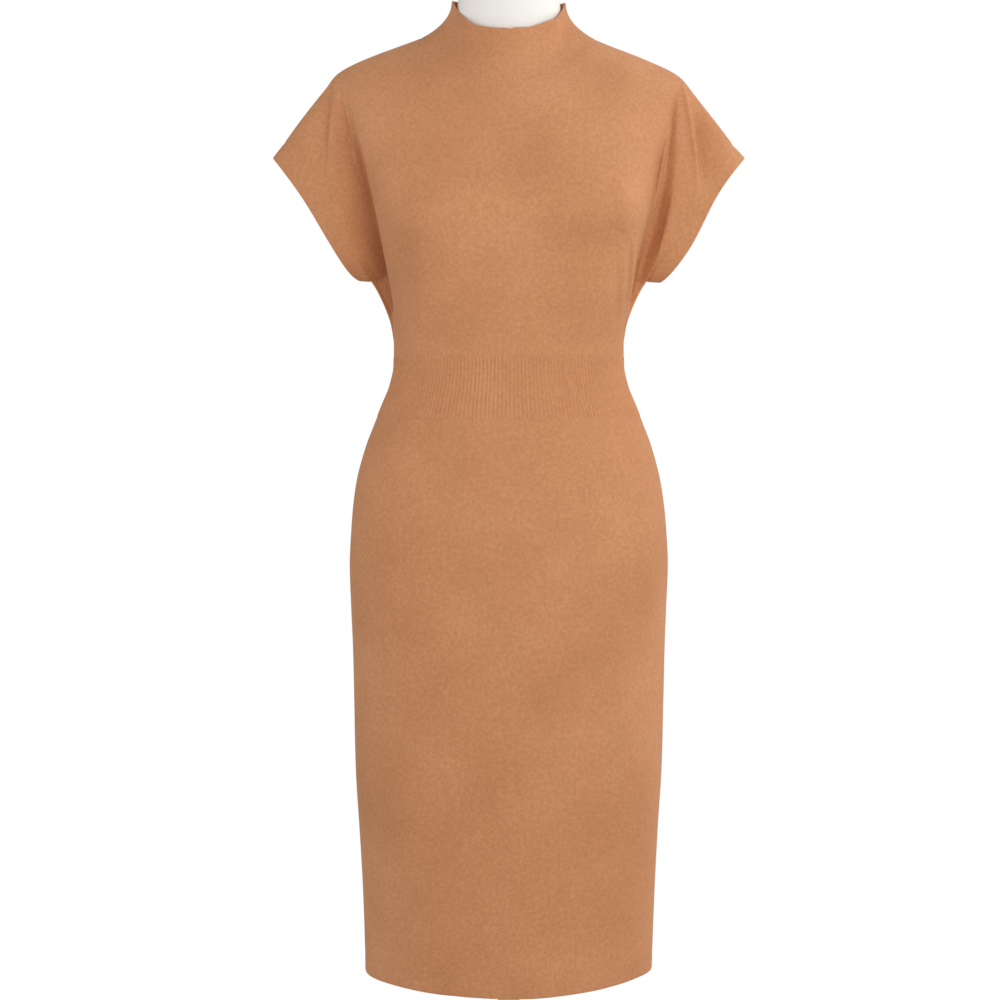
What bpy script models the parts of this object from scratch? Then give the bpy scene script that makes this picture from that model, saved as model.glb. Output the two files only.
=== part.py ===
"""A fine-knit sweater dress on a limbless dress form.

Metres, +Z up. The front faces -Y, the floor is z = 0 and the stand's axis is x = y = 0.
The dress is a mock-neck pencil dress: front and back are cut in one with short dolman
sleeves, a ribbed waistband joins them to the skirt, and narrow bands finish cuffs and hem.
Every piece of cloth is a closed wall, open where the garment is open.
"""

import bmesh
import bpy
import numpy as np

# ---- Driving sizes ---------------------------------------------------------------------
HEM_BOTTOM = 0.330
HEM_TOP = 0.353
WAISTBAND_BOTTOM = 0.970
WAISTBAND_TOP = 1.039

KNIT_WALL = 0.0020
BAND_WALL = 0.0024
SEAM_GAP = 0.0003
BAND_SEAM_GAP = 0.0004
HALF_GAP = SEAM_GAP / 2

# The neckline is where the collar is sewn on: its half width, and its front and back heights.
NECK_HALF_WIDTH = 0.100
NECK_HEIGHT = {"front": 1.343, "back": 1.403}

# The sleeve's seam to its cuff runs from the armpit to the top, the cuff's open edge from heel to tip.
ARMPIT_ACROSS, ARMPIT_HEIGHT = 0.157, 1.1235
SLEEVE_TOP_ACROSS, SLEEVE_TOP_HEIGHT = 0.2555, 1.2788
CUFF_HEEL_ACROSS, CUFF_HEEL_HEIGHT = 0.1765, 1.1215
CUFF_TIP_ACROSS, CUFF_TIP_HEIGHT = 0.2685, 1.2640
SLEEVE_HALF_DEPTH = 0.042
CUFF_HALF_DEPTH = 0.037
SLEEVE_BLEND = 0.016

# The collar's open rim: an oval ring, lower in front.
RIM_HALF_WIDTH = 0.065
RIM_FRONT, RIM_BACK = 0.062, 0.059
RIM_SIDE_HEIGHT = 1.441
RIM_FRONT_DROP = 0.0397
RIM_BACK_RISE = 0.010
COLLAR_FLARE = 2.2

RIB_HEIGHT = 0.0009
RIBS = {"front": 88, "back": 86}
# The inside is plain, so it needs only every fourth column.
COLUMNS_PER_INNER = 4

# Horizontal sections through skirt, waist and body: half width at the side seams, depth in
# front and behind, and how square the oval is (2 is an ellipse).
SECTION_COLUMNS = ("height", "half_width", "front", "back", "squareness")
SECTIONS = (
    (0.330, 0.1633, 0.1180, 0.1180, 2.00),
    (0.431, 0.1668, 0.1185, 0.1205, 2.02),
    (0.500, 0.1702, 0.1190, 0.1230, 2.05),
    (0.569, 0.1742, 0.1195, 0.1260, 2.08),
    (0.638, 0.1765, 0.1200, 0.1290, 2.10),
    (0.707, 0.1783, 0.1205, 0.1325, 2.12),
    (0.753, 0.1800, 0.1208, 0.1352, 2.15),
    (0.800, 0.1817, 0.1210, 0.1370, 2.15),
    (0.845, 0.1790, 0.1205, 0.1365, 2.15),
    (0.891, 0.1731, 0.1190, 0.1300, 2.12),
    (0.937, 0.1610, 0.1150, 0.1180, 2.10),
    (0.960, 0.1524, 0.1115, 0.1110, 2.08),
    (0.983, 0.1440, 0.1075, 0.1050, 2.05),
    (1.006, 0.1353, 0.1035, 0.1005, 2.05),
    (1.029, 0.1313, 0.1010, 0.0985, 2.05),
    (1.052, 0.1311, 0.1015, 0.0985, 2.08),
    (1.075, 0.1342, 0.1040, 0.0995, 2.12),
    (1.098, 0.1395, 0.1080, 0.1015, 2.20),
    (1.1235, 0.1465, 0.1135, 0.1040, 2.30),
    (1.140, 0.1502, 0.1175, 0.1055, 2.38),
    (1.163, 0.1555, 0.1220, 0.1070, 2.45),
    (1.200, 0.1635, 0.1245, 0.1095, 2.50),
    (1.240, 0.1710, 0.1195, 0.1115, 2.50),
    (1.274, 0.1785, 0.1095, 0.1120, 2.50),
    (1.304, 0.1855, 0.0980, 0.1095, 2.50),
    (1.343, 0.1960, 0.0800, 0.0980, 2.50),
    (1.360, 0.2000, 0.0730, 0.0890, 2.50),
    (1.395, 0.2050, 0.0660, 0.0720, 2.50),
    (1.440, 0.2050, 0.0620, 0.0600, 2.50),
)

# The side seam leaves the body below the armpit and runs out to it over a rounded web of cloth.
SEAM_COLUMNS = ("height", "across", "web")
SIDE_SEAM = (
    (1.0520, 0.1311, 0.0000),
    (1.0750, 0.1350, 0.0030),
    (1.0867, 0.1387, 0.0060),
    (1.0980, 0.1432, 0.0090),
    (1.1086, 0.1482, 0.0115),
    (1.1166, 0.1525, 0.0130),
    (1.1235, 0.1570, 0.0140),
)

# The line that runs over the shoulder and down the top of the sleeve. Under the collar it
# goes on to the middle, where only the form follows it.
SHOULDER_COLUMNS = ("across", "height")
SHOULDER_LINE = (
    (0.0000, 1.4370),
    (0.1035, 1.3970),
    (0.1250, 1.3885),
    (0.1495, 1.3790),
    (0.1830, 1.3645),
    (0.1960, 1.3560),
    (0.2105, 1.3385),
    (0.2260, 1.3190),
    (0.2400, 1.3006),
    (0.2555, 1.2788),
    (0.2685, 1.2600),
)
# How far below the shoulder line the body has its full depth, by how far across it is.
ROUND_COLUMNS = ("across", "front", "back")
SHOULDER_ROUND = (
    (0.000, 0.130, 0.060),
    (0.090, 0.130, 0.065),
    (0.150, 0.085, 0.095),
    (0.300, 0.080, 0.100),
)

# The bust: two soft mounds that the front bridges.
BUST_ACROSS, BUST_HEIGHT = 0.088, 1.196
BUST_RADIUS, BUST_RISE = 0.046, 0.005

# Folds: from one end through a middle point to the other, as across and height. Width is
# half of what the eye sees, and a depth below zero is a ridge.
FOLD_COLUMNS = ("panel", "x0", "z0", "x1", "z1", "x2", "z2", "width", "depth")
FOLDS = (
    ("front", -0.156, 1.175, -0.147, 1.126, -0.137, 1.078, 0.010, 0.0050),
    ("front", -0.203, 1.343, -0.206, 1.290, -0.211, 1.232, 0.008, 0.0018),
    ("front", -0.119, 1.172, -0.125, 1.115, -0.128, 1.055, 0.013, 0.0030),
    ("front", -0.126, 1.152, -0.108, 1.166, -0.088, 1.176, 0.019, 0.0025),
    ("front", 0.199, 1.343, 0.213, 1.294, 0.219, 1.240, 0.009, -0.0045),
    ("front", 0.192, 1.332, 0.176, 1.250, 0.150, 1.130, 0.007, -0.0025),
    ("front", 0.183, 1.279, 0.181, 1.215, 0.146, 1.098, 0.010, 0.0050),
    ("front", 0.138, 1.156, 0.136, 1.120, 0.134, 1.085, 0.007, -0.0020),
    ("front", 0.117, 1.145, 0.121, 1.100, 0.124, 1.052, 0.009, -0.0018),
    ("back", -0.157, 1.180, -0.149, 1.126, -0.136, 1.075, 0.010, 0.0050),
    ("back", -0.205, 1.335, -0.211, 1.285, -0.216, 1.240, 0.009, -0.0040),
    ("back", -0.112, 1.185, -0.119, 1.120, -0.123, 1.060, 0.013, 0.0030),
    ("back", 0.158, 1.185, 0.150, 1.128, 0.138, 1.075, 0.010, 0.0048),
    ("back", 0.202, 1.338, 0.205, 1.290, 0.212, 1.235, 0.008, 0.0042),
    ("back", 0.108, 1.175, 0.116, 1.115, 0.122, 1.058, 0.012, 0.0026),
)

# Folds taper to their ends. They fade out where the cloth turns round its edge, and towards the
# side seam and the cuff.
FOLD_TAPER = 0.7
FOLD_FADE_DEPTH = 0.025
FOLD_FADE_EDGE = 0.12

# The dress form lies inside the cloth: clear of it at the sides, touching it on the shoulders.
FORM_BOTTOM = 0.690
FORM_TOP = 1.480
FORM_EASE = 0.0075
FORM_REST_GAP = 0.0010
# Near the neck it lies deeper still, below the collar's seam.
FORM_NECK_DROP = 0.0030
FORM_NECK_DROP_START, FORM_NECK_DROP_RUN = 1.378, 0.014
FORM_NECK_BLEND = 0.010
NECK_COLUMNS = ("height", "half_width", "depth")
FORM_NECK = (
    (1.330, 0.0850, 0.0550),
    (1.360, 0.0790, 0.0560),
    (1.385, 0.0705, 0.0560),
    (1.400, 0.0655, 0.0560),
    (1.410, 0.0628, 0.0560),
    (1.420, 0.0604, 0.0560),
    (1.432, 0.0585, 0.0560),
    (1.445, 0.0575, 0.0560),
    (1.480, 0.0575, 0.0560),
)
FORM_EDGE_ROUND = 0.006
# Its rings stand evenly up to the shoulders, and closer from there to the neck.
FORM_BODY_RINGS = 16
FORM_BODY_LOW, FORM_BODY_HIGH = 0.720, 1.290
FORM_SHOULDER_RINGS = (
    1.328, 1.336, 1.348, 1.357, 1.366, 1.375, 1.384, 1.392, 1.400, 1.408, 1.418, 1.430, 1.445,
)

POLE_RADIUS = 0.0125
BASE_RADIUS = 0.165
BASE_THICKNESS = 0.009
BASE_EDGE_ROUND = 0.002
BOSS_RADIUS = 0.024
BOSS_HEIGHT = 0.030

# Grid sizes
NECK_STEPS = 7
SLEEVE_STEPS = 13
LOWER_ROWS = 5
UPPER_ROWS = 14
SKIRT_COLUMNS, SKIRT_ROWS = 24, 13
HEM_COLUMNS, HEM_ROWS = 24, 1
BAND_ROWS = 3
COLLAR_ROWS = 5
CUFF_ROWS = 2
FORM_SIDES = 32
POLE_SIDES = 24
BASE_SIDES = 64
# The skirt's rows stand closer where the hips curve.
SKIRT_ROW_SPREAD = 1.5
CURVE_SAMPLES = 601
HALVINGS = 40
SHARP_ANGLE = 0.7
TINY = 1e-9
SIGN = {"front": -1.0, "back": 1.0}


# ---- Reading the tables ------------------------------------------------------------------
def read(table, columns, name, at):
    """A column of a table, read on a smooth curve that never overshoots its rows."""
    knots = np.array([row[0] for row in table])
    values = np.array([row[columns.index(name)] for row in table])
    steps = np.diff(knots)
    slopes = np.diff(values) / steps
    same_way = slopes[:-1] * slopes[1:] > 0
    safe = np.where(same_way, slopes[:-1] + slopes[1:], 1.0)
    inner = np.where(same_way, 2 * slopes[:-1] * slopes[1:] / safe, 0.0)
    tangents = np.concatenate([slopes[:1], inner, slopes[-1:]])
    at = np.clip(np.asarray(at, float), knots[0], knots[-1])
    left = np.clip(np.searchsorted(knots, at) - 1, 0, len(steps) - 1)
    step = steps[left]
    t = (at - knots[left]) / step
    rise = values[left + 1] - values[left]
    start, end = tangents[left] * step, tangents[left + 1] * step
    return values[left] + t * (start + t * (3 * rise - 2 * start - end + t * (start + end - 2 * rise)))


def section(name, height):
    return read(SECTIONS, SECTION_COLUMNS, name, height)


def side_edge(height):
    """How far out the side seam lies, below the armpit."""
    seam = read(SIDE_SEAM, SEAM_COLUMNS, "across", height)
    return np.where(height > SIDE_SEAM[0][0], seam, section("half_width", height))


def edge_across(row):
    """How far out the sleeve's sewn edge lies, from the armpit (0) to the sleeve's top (1)."""
    return ARMPIT_ACROSS + (SLEEVE_TOP_ACROSS - ARMPIT_ACROSS) * row


def shoulder_height(across):
    return read(SHOULDER_LINE, SHOULDER_COLUMNS, "height", np.abs(across))


def soft_max(a, b, reach):
    """The larger of two depths, with a rounded valley where they meet."""
    reach = np.minimum(reach, np.maximum(np.maximum(a, b), TINY))
    near = np.clip(1 - np.abs(a - b) / reach, 0, 1)
    return np.maximum(a, b) + near * near * reach / 4


# ---- The body's shape ----------------------------------------------------------------------
def body_half_depth(panel, across, height, ease=0.0, drop=0.0):
    """How far the body's front or back lies from the plane of the side seams."""
    width = section("half_width", height) - ease
    square = section("squareness", height)
    inside = np.clip(1 - (np.abs(across) / width) ** square, 0, 1) ** (1 / square)
    rounding = read(SHOULDER_ROUND, ROUND_COLUMNS, panel, np.abs(across))
    below = np.clip((shoulder_height(across) - drop - height) / rounding, 0, 1)
    depth = (section(panel, height) - ease) * inside * np.sqrt(1 - (1 - below) ** 2)
    if panel == "front":
        away = ((np.abs(across) - BUST_ACROSS) ** 2 + (height - BUST_HEIGHT) ** 2) / BUST_RADIUS**2
        depth = depth + BUST_RISE * np.exp(-away) * inside
    return depth


def fold_relief(panel, across, height):
    """The depth of all folds of a panel at a point, added up."""
    total = np.zeros(np.broadcast(across, height).shape)
    for row in FOLDS:
        fold = dict(zip(FOLD_COLUMNS, row))
        if fold["panel"] != panel:
            continue
        ends = [np.array([fold[f"x{k}"], fold[f"z{k}"]]) for k in range(3)]
        lengths = [np.linalg.norm(ends[k + 1] - ends[k]) for k in range(2)]
        nearest = np.full(total.shape, np.inf)
        along = np.zeros(total.shape)
        for k, done in ((0, 0.0), (1, lengths[0])):
            run = ends[k + 1] - ends[k]
            t = ((across - ends[k][0]) * run[0] + (height - ends[k][1]) * run[1]) / lengths[k] ** 2
            t = np.clip(t, 0, 1)
            away = np.hypot(across - ends[k][0] - t * run[0], height - ends[k][1] - t * run[1])
            along = np.where(away < nearest, (done + t * lengths[k]) / sum(lengths), along)
            nearest = np.minimum(nearest, away)
        taper = np.sin(np.pi * along) ** FOLD_TAPER
        total += fold["depth"] * taper * np.exp(-((nearest / fold["width"]) ** 2))
    return total


def bodice_half_depth(panel, across, height, row, u):
    """The cloth's depth: the body's, or the sleeve's where that stands further out."""
    body = body_half_depth(panel, across, height)
    edge = side_edge(height) if row == 0 else edge_across(row)
    web = read(SIDE_SEAM, SEAM_COLUMNS, "web", height) * (1 - row)
    inward = np.clip((edge - np.abs(across)) / np.maximum(web, TINY), 0, 1)
    web = web * np.sqrt(1 - (1 - inward) ** 2)
    sleeve = np.hypot(2 * SLEEVE_HALF_DEPTH * np.sqrt(row * (1 - row)), web)
    depth = soft_max(body, sleeve, SLEEVE_BLEND)
    free = np.clip(depth / FOLD_FADE_DEPTH, 0, 1) * np.clip((1 - np.abs(u)) / FOLD_FADE_EDGE, 0, 1)
    return np.maximum(depth - free * fold_relief(panel, across, height), HALF_GAP)


# ---- Walls of cloth ------------------------------------------------------------------------
def outward_normals(grid, closed=False):
    """Normals of a grid of points, rows upwards and columns towards +X or round a ring."""
    if closed:
        across = np.roll(grid, -1, axis=1) - np.roll(grid, 1, axis=1)
    else:
        across = np.gradient(grid, axis=1)
    normals = np.cross(across, np.gradient(grid, axis=0))
    return normals / np.linalg.norm(normals, axis=2, keepdims=True)


def add_rim(bm, corners):
    """A face of a wall's rim. Four corners are split along the shorter way, so that two rims
    that meet at a seam are split alike."""
    if len(corners) > 4:
        bm.faces.new(corners)
        return
    a, b, c, d = corners
    if (a.co - c.co).length < (b.co - d.co).length:
        bm.faces.new([a, b, c])
        bm.faces.new([a, c, d])
    else:
        bm.faces.new([a, b, d])
        bm.faces.new([b, c, d])


def add_wall(name, outer, inner, material, closed=False, every=1):
    """A closed wall between an outer grid and an inner one, which takes every n-th column."""
    inner = inner[:, ::every]
    bm = bmesh.new()
    out = [[bm.verts.new(p) for p in row] for row in outer]
    into = [[bm.verts.new(p) for p in row] for row in inner]
    for skin, turned in ((out, False), (into, True)):
        count = len(skin[0])
        for low, high in zip(skin, skin[1:]):
            for k in range(count if closed else count - 1):
                after = (k + 1) % count
                corners = [low[k], low[after], high[after], high[k]]
                bm.faces.new(corners[::-1] if turned else corners)
    for row in (0, -1):
        count = len(into[row])
        for k in range(count if closed else count - 1):
            after = (k + 1) % count
            edge = [out[row][j % len(out[row])] for j in range(k * every, (k + 1) * every + 1)]
            add_rim(bm, edge + [into[row][after], into[row][k]])
    if not closed:
        for column in (0, -1):
            for k in range(len(out) - 1):
                add_rim(bm, [out[k][column], out[k + 1][column], into[k + 1][column], into[k][column]])
    bmesh.ops.recalc_face_normals(bm, faces=bm.faces[:])
    mesh = bpy.data.meshes.new(name)
    bm.to_mesh(mesh)
    bm.free()
    return add_object(name, mesh, material)


def add_object(name, mesh, material):
    piece = bpy.data.objects.new(name, mesh)
    mesh.materials.append(material)
    mesh.shade_smooth()
    mesh.set_sharp_from_angle(angle=SHARP_ANGLE)
    PARTS.objects.link(piece)
    return piece


def finish(name, colour, roughness, metallic=0.0):
    material = bpy.data.materials.new(name)
    material.use_nodes = True
    shader = material.node_tree.nodes["Principled BSDF"]
    shader.inputs["Base Color"].default_value = (*colour, 1)
    shader.inputs["Roughness"].default_value = roughness
    shader.inputs["Metallic"].default_value = metallic
    return material


# ---- Bodice --------------------------------------------------------------------------------
def neckline_height(panel, across, share):
    """Where the neckline's oval, seen from above, meets the body: found by halving."""
    middle = body_half_depth(panel, 0.0, NECK_HEIGHT[panel])
    low = np.full(across.shape, NECK_HEIGHT["front"] - FOLD_FADE_DEPTH)
    high = shoulder_height(across)
    for _ in range(HALVINGS):
        half = (low + high) / 2
        inside = body_half_depth(panel, across, half) > middle * share
        low, high = np.where(inside, half, low), np.where(inside, high, half)
    return high


def top_edge(panel, u):
    """The panel's top edge at -1 to 1: neckline in the middle, then shoulder and sleeve top."""
    neck_end = NECK_STEPS / (NECK_STEPS + SLEEVE_STEPS)
    size = np.abs(u)
    angle = np.pi / 2 * np.clip(size / neck_end, 0, 1)
    out = np.clip((size - neck_end) / (1 - neck_end), 0, 1)
    across = NECK_HALF_WIDTH * np.sin(angle) + (SLEEVE_TOP_ACROSS - NECK_HALF_WIDTH) * out
    neckline = neckline_height(panel, across, np.cos(angle))
    return np.sign(u) * across, np.where(size > neck_end, shoulder_height(across), neckline)


def bodice_walls(panel):
    """Outer and inner points of the front or back, from the waistband up to the top edge."""
    u = np.linspace(-1, 1, 2 * (NECK_STEPS + SLEEVE_STEPS) + 1)
    spread = np.sin(u * np.pi / 2)
    top_across, top_height = top_edge(panel, u)
    rows = []
    for height in np.linspace(WAISTBAND_TOP + SEAM_GAP, ARMPIT_HEIGHT, LOWER_ROWS, endpoint=False):
        rows.append((side_edge(height) * spread, np.full(len(u), height), 0.0))
    for turn in np.linspace(0, np.pi, UPPER_ROWS + 1):
        row = (1 - np.cos(turn)) / 2
        mix = row * row * (3 - 2 * row)
        across = edge_across(row) * ((1 - mix) * spread + mix * top_across / SLEEVE_TOP_ACROSS)
        rows.append((across, ARMPIT_HEIGHT + (top_height - ARMPIT_HEIGHT) * row, row))
    outer = np.zeros((len(rows), len(u), 3))
    for k, (across, height, row) in enumerate(rows):
        depth = bodice_half_depth(panel, across, height, row, u)
        outer[k] = np.stack([across, SIGN[panel] * depth, height], axis=1)
    sewn = np.zeros(outer.shape[:2], bool)
    sewn[: LOWER_ROWS + 1, [0, -1]] = True
    sewn[-1, np.abs(u) >= NECK_STEPS / (NECK_STEPS + SLEEVE_STEPS) - TINY] = True
    outer[sewn, 1] = SIGN[panel] * HALF_GAP
    return outer, drawn_in(outer, panel, sewn)


def drawn_in(outer, panel, sewn, wall=KNIT_WALL):
    """The inner points of a panel. Where it is sewn to the other panel both end in one plane."""
    normals = outward_normals(outer) * -SIGN[panel]
    normals[sewn, 1] = 0
    normals /= np.linalg.norm(normals, axis=2, keepdims=True)
    inner = outer - wall * normals
    inner[..., 1] = SIGN[panel] * np.maximum(SIGN[panel] * inner[..., 1], HALF_GAP)
    return inner


def ring_from(front, back):
    """A closed ring from an edge of the front and the same edge of the back."""
    first, last = ((front[k] + back[k]) / 2 for k in (0, -1))
    return np.array([first, *front[1:-1], last, *back[-2:0:-1]])


def facing_out(rings):
    """The normals of stacked closed rings, turned away from the middle of the first."""
    normals = outward_normals(rings, closed=True)
    away = rings[0] - rings[0].mean(axis=0)
    return normals * np.sign((away * normals[0]).sum())


def band_on(base_outer, base_inner, rows, wall):
    """The walls of a band that grows from a sewn edge through rows of ring points."""
    way = rows[1] - base_outer
    way /= np.linalg.norm(way, axis=1, keepdims=True)
    outer = np.array([base_outer + way * BAND_SEAM_GAP, *rows[1:]])
    inner = outer - wall * facing_out(outer)
    inner[0] = base_inner + way * BAND_SEAM_GAP
    return outer, inner


def add_collar(front, back, material):
    """The mock neck: a ring that stands on the neckline and flares into it."""
    middle = NECK_STEPS + SLEEVE_STEPS
    neck = slice(middle - NECK_STEPS, middle + NECK_STEPS + 1)
    base_outer = ring_from(front[0][-1, neck], back[0][-1, neck])
    base_inner = ring_from(front[1][-1, neck], back[1][-1, neck])
    angle = -np.pi / 2 + np.arange(4 * NECK_STEPS) * np.pi / 2 / NECK_STEPS
    facing = np.cos(angle)
    rim = np.zeros_like(base_outer)
    rim[:, 0] = RIM_HALF_WIDTH * np.sin(angle)
    rim[:, 1] = np.where(facing > 0, -RIM_FRONT, -RIM_BACK) * facing
    behind = np.clip(-facing, 0, 1)
    rise = RIM_BACK_RISE * (1 - (1 - behind) ** (RIM_FRONT_DROP / RIM_BACK_RISE))
    rim[:, 2] = RIM_SIDE_HEIGHT - RIM_FRONT_DROP * np.clip(facing, 0, 1) + rise
    rows = []
    for t in np.linspace(0, 1, COLLAR_ROWS + 1):
        row = rim + (base_outer - rim) * (1 - t) ** COLLAR_FLARE
        row[:, 2] = base_outer[:, 2] + (rim[:, 2] - base_outer[:, 2]) * t
        rows.append(row)
    outer, inner = band_on(base_outer, base_inner, rows, KNIT_WALL)
    return add_wall("collar", outer, inner, material, closed=True)


def add_cuff(name, front, back, column, material):
    """A narrow band round a sleeve's end, from the sleeve's edge to the open rim."""
    edge = slice(LOWER_ROWS, None)
    base_outer = ring_from(front[0][edge, column], back[0][edge, column])
    base_inner = ring_from(front[1][edge, column], back[1][edge, column])
    side = np.sign(base_outer[0, 0])
    turn = np.arange(2 * UPPER_ROWS) * np.pi / UPPER_ROWS
    up = (1 - np.cos(turn)) / 2
    rim = np.zeros_like(base_outer)
    rim[:, 0] = side * (CUFF_HEEL_ACROSS + (CUFF_TIP_ACROSS - CUFF_HEEL_ACROSS) * up)
    rim[:, 1] = -CUFF_HALF_DEPTH * np.sin(turn)
    rim[:, 2] = CUFF_HEEL_HEIGHT + (CUFF_TIP_HEIGHT - CUFF_HEEL_HEIGHT) * up
    rows = [base_outer + (rim - base_outer) * t for t in np.linspace(0, 1, CUFF_ROWS + 1)]
    outer, inner = band_on(base_outer, base_inner, rows, KNIT_WALL)
    return add_wall(name, outer, inner, material, closed=True)


# ---- Skirt, waistband and hem --------------------------------------------------------------
def section_curve(panel, height, columns):
    """Points along the front or back half of a section, evenly spaced round it."""
    angle = np.linspace(-np.pi / 2, np.pi / 2, CURVE_SAMPLES)
    power = 2 / section("squareness", height)
    across = section("half_width", height) * np.sign(angle) * np.abs(np.sin(angle)) ** power
    depth = section(panel, height) * np.abs(np.cos(angle)) ** power
    gone = np.concatenate([[0], np.cumsum(np.hypot(np.diff(across), np.diff(depth)))])
    at = np.linspace(0, gone[-1], columns + 1)
    points = np.zeros((columns + 1, 3))
    points[:, 0] = np.interp(at, gone, across)
    points[:, 1] = SIGN[panel] * np.maximum(np.interp(at, gone, depth), HALF_GAP)
    points[:, 2] = height
    return points


def panel_walls(panel, heights, columns, wall=KNIT_WALL):
    """Outer and inner points of a panel that follows the sections."""
    outer = np.array([section_curve(panel, height, columns) for height in heights])
    sewn = np.zeros(outer.shape[:2], bool)
    sewn[:, [0, -1]] = True
    inner = drawn_in(outer, panel, sewn, wall)
    inner[..., 2] = outer[..., 2]
    return outer, inner


def add_skirt(panel, material):
    top, bottom = WAISTBAND_BOTTOM - SEAM_GAP, HEM_TOP + SEAM_GAP
    heights = top - (top - bottom) * np.linspace(1, 0, SKIRT_ROWS + 1) ** SKIRT_ROW_SPREAD
    outer, inner = panel_walls(panel, heights, SKIRT_COLUMNS)
    return add_wall(f"skirt_{panel}", outer, inner, material)


def add_waistband(panel, material):
    """A ribbed band: the ribs stand on the outer points, and the inside is plain."""
    columns = 2 * RIBS[panel]
    heights = np.linspace(WAISTBAND_BOTTOM, WAISTBAND_TOP, BAND_ROWS + 1)
    outer, inner = panel_walls(panel, heights, columns, KNIT_WALL - RIB_HEIGHT / 2)
    normals = outward_normals(outer) * -SIGN[panel]
    crest = (np.arange(columns + 1) % 2)[None, :, None]
    outer = outer + RIB_HEIGHT * crest * normals * np.array([1, 1, 0])
    return add_wall(f"waistband_{panel}", outer, inner, material, every=COLUMNS_PER_INNER)


def add_hem_band(material):
    """A closed band round the hem, a little thicker than the skirt."""
    rings = []
    for height in np.linspace(HEM_BOTTOM, HEM_TOP, HEM_ROWS + 1):
        rings.append(ring_from(*(section_curve(panel, height, HEM_COLUMNS) for panel in SIGN)))
    outer = np.array(rings)
    inner = outer - BAND_WALL * facing_out(outer)
    inner[..., 2] = outer[..., 2]
    return add_wall("hem_band", outer, inner, material, closed=True)


# ---- Dress form and stand ------------------------------------------------------------------
def form_ring(height, shrink=0.0):
    """One horizontal ring of the form: the body's oval, or the neck's where that is larger."""
    near_neck = np.clip((height - FORM_NECK_DROP_START) / FORM_NECK_DROP_RUN, 0, 1)
    drop = KNIT_WALL + FORM_REST_GAP + FORM_NECK_DROP * near_neck
    line = np.linspace(SHOULDER_LINE[-1][0], 0, CURVE_SAMPLES)
    shoulder = np.interp(height + drop, shoulder_height(line), line)
    body_width = min(shoulder, float(section("half_width", height)) - FORM_EASE)
    neck_width = float(read(FORM_NECK, NECK_COLUMNS, "half_width", height))
    neck_depth = float(read(FORM_NECK, NECK_COLUMNS, "depth", height))
    half_width = max(body_width, neck_width)
    angle = np.arange(FORM_SIDES) * 2 * np.pi / FORM_SIDES
    across = half_width * np.sin(angle)
    neck = neck_depth * np.sqrt(np.clip(1 - (across / neck_width) ** 2, 0, 1))
    ring = np.zeros((FORM_SIDES, 3))
    for panel, facing in (("front", np.cos(angle) >= 0), ("back", np.cos(angle) < 0)):
        body = body_half_depth(panel, across, height, FORM_EASE, drop)
        depth = soft_max(body, neck if height > FORM_NECK[0][0] else 0 * neck, FORM_NECK_BLEND)
        ring[:, 1] = np.where(facing, SIGN[panel] * depth, ring[:, 1])
    ring[:, 0] = across
    ring[:, 2] = height
    ring[[FORM_SIDES // 4, 3 * FORM_SIDES // 4], 1] = 0
    ring[:, :2] *= 1 - shrink / half_width
    return ring


def add_form(material):
    body = np.linspace(FORM_BODY_LOW, FORM_BODY_HIGH, FORM_BODY_RINGS)
    ends = (FORM_BOTTOM + FORM_EDGE_ROUND, FORM_TOP - FORM_EDGE_ROUND)
    heights = [ends[0], *body, *FORM_SHOULDER_RINGS, ends[1]]
    rings = [form_ring(FORM_BOTTOM, FORM_EDGE_ROUND)]
    rings += [form_ring(height) for height in heights]
    rings += [form_ring(FORM_TOP, FORM_EDGE_ROUND)]
    bm = bmesh.new()
    skin = [[bm.verts.new(p) for p in ring] for ring in rings]
    for low, high in zip(skin, skin[1:]):
        for k in range(FORM_SIDES):
            after = (k + 1) % FORM_SIDES
            bm.faces.new([low[k], low[after], high[after], high[k]])
    bm.faces.new(skin[0][::-1])
    bm.faces.new(skin[-1])
    bmesh.ops.recalc_face_normals(bm, faces=bm.faces[:])
    mesh = bpy.data.meshes.new("form_torso")
    bm.to_mesh(mesh)
    bm.free()
    return add_object("form_torso", mesh, material)


def add_stand(material):
    """A weighted round base with a boss, and a pole from the boss to the form's underside."""
    profile = [
        (0, BASE_THICKNESS + BOSS_HEIGHT),
        (BOSS_RADIUS - BASE_EDGE_ROUND, BASE_THICKNESS + BOSS_HEIGHT),
        (BOSS_RADIUS, BASE_THICKNESS + BOSS_HEIGHT - BASE_EDGE_ROUND),
        (BOSS_RADIUS, BASE_THICKNESS),
        (BASE_RADIUS - BASE_EDGE_ROUND, BASE_THICKNESS),
        (BASE_RADIUS, BASE_THICKNESS - BASE_EDGE_ROUND),
        (BASE_RADIUS, 0),
        (0, 0),
    ]
    mesh = bpy.data.meshes.new("stand_base")
    edges = [(k, k + 1) for k in range(len(profile) - 1)]
    mesh.from_pydata([(radius, 0, height) for radius, height in profile], edges, [])
    base = add_object("stand_base", mesh, material)
    turn = base.modifiers.new("turn", "SCREW")
    turn.steps = BASE_SIDES
    turn.render_steps = BASE_SIDES
    turn.use_merge_vertices = True
    turn.merge_threshold = 0.0001
    foot = BASE_THICKNESS + BOSS_HEIGHT + SEAM_GAP
    head = FORM_BOTTOM - SEAM_GAP
    bm = bmesh.new()
    bmesh.ops.create_cone(
        bm,
        cap_ends=True,
        segments=POLE_SIDES,
        radius1=POLE_RADIUS,
        radius2=POLE_RADIUS,
        depth=head - foot,
    )
    bmesh.ops.translate(bm, verts=bm.verts[:], vec=(0, 0, (head + foot) / 2))
    mesh = bpy.data.meshes.new("stand_pole")
    bm.to_mesh(mesh)
    bm.free()
    add_object("stand_pole", mesh, material)


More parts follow.
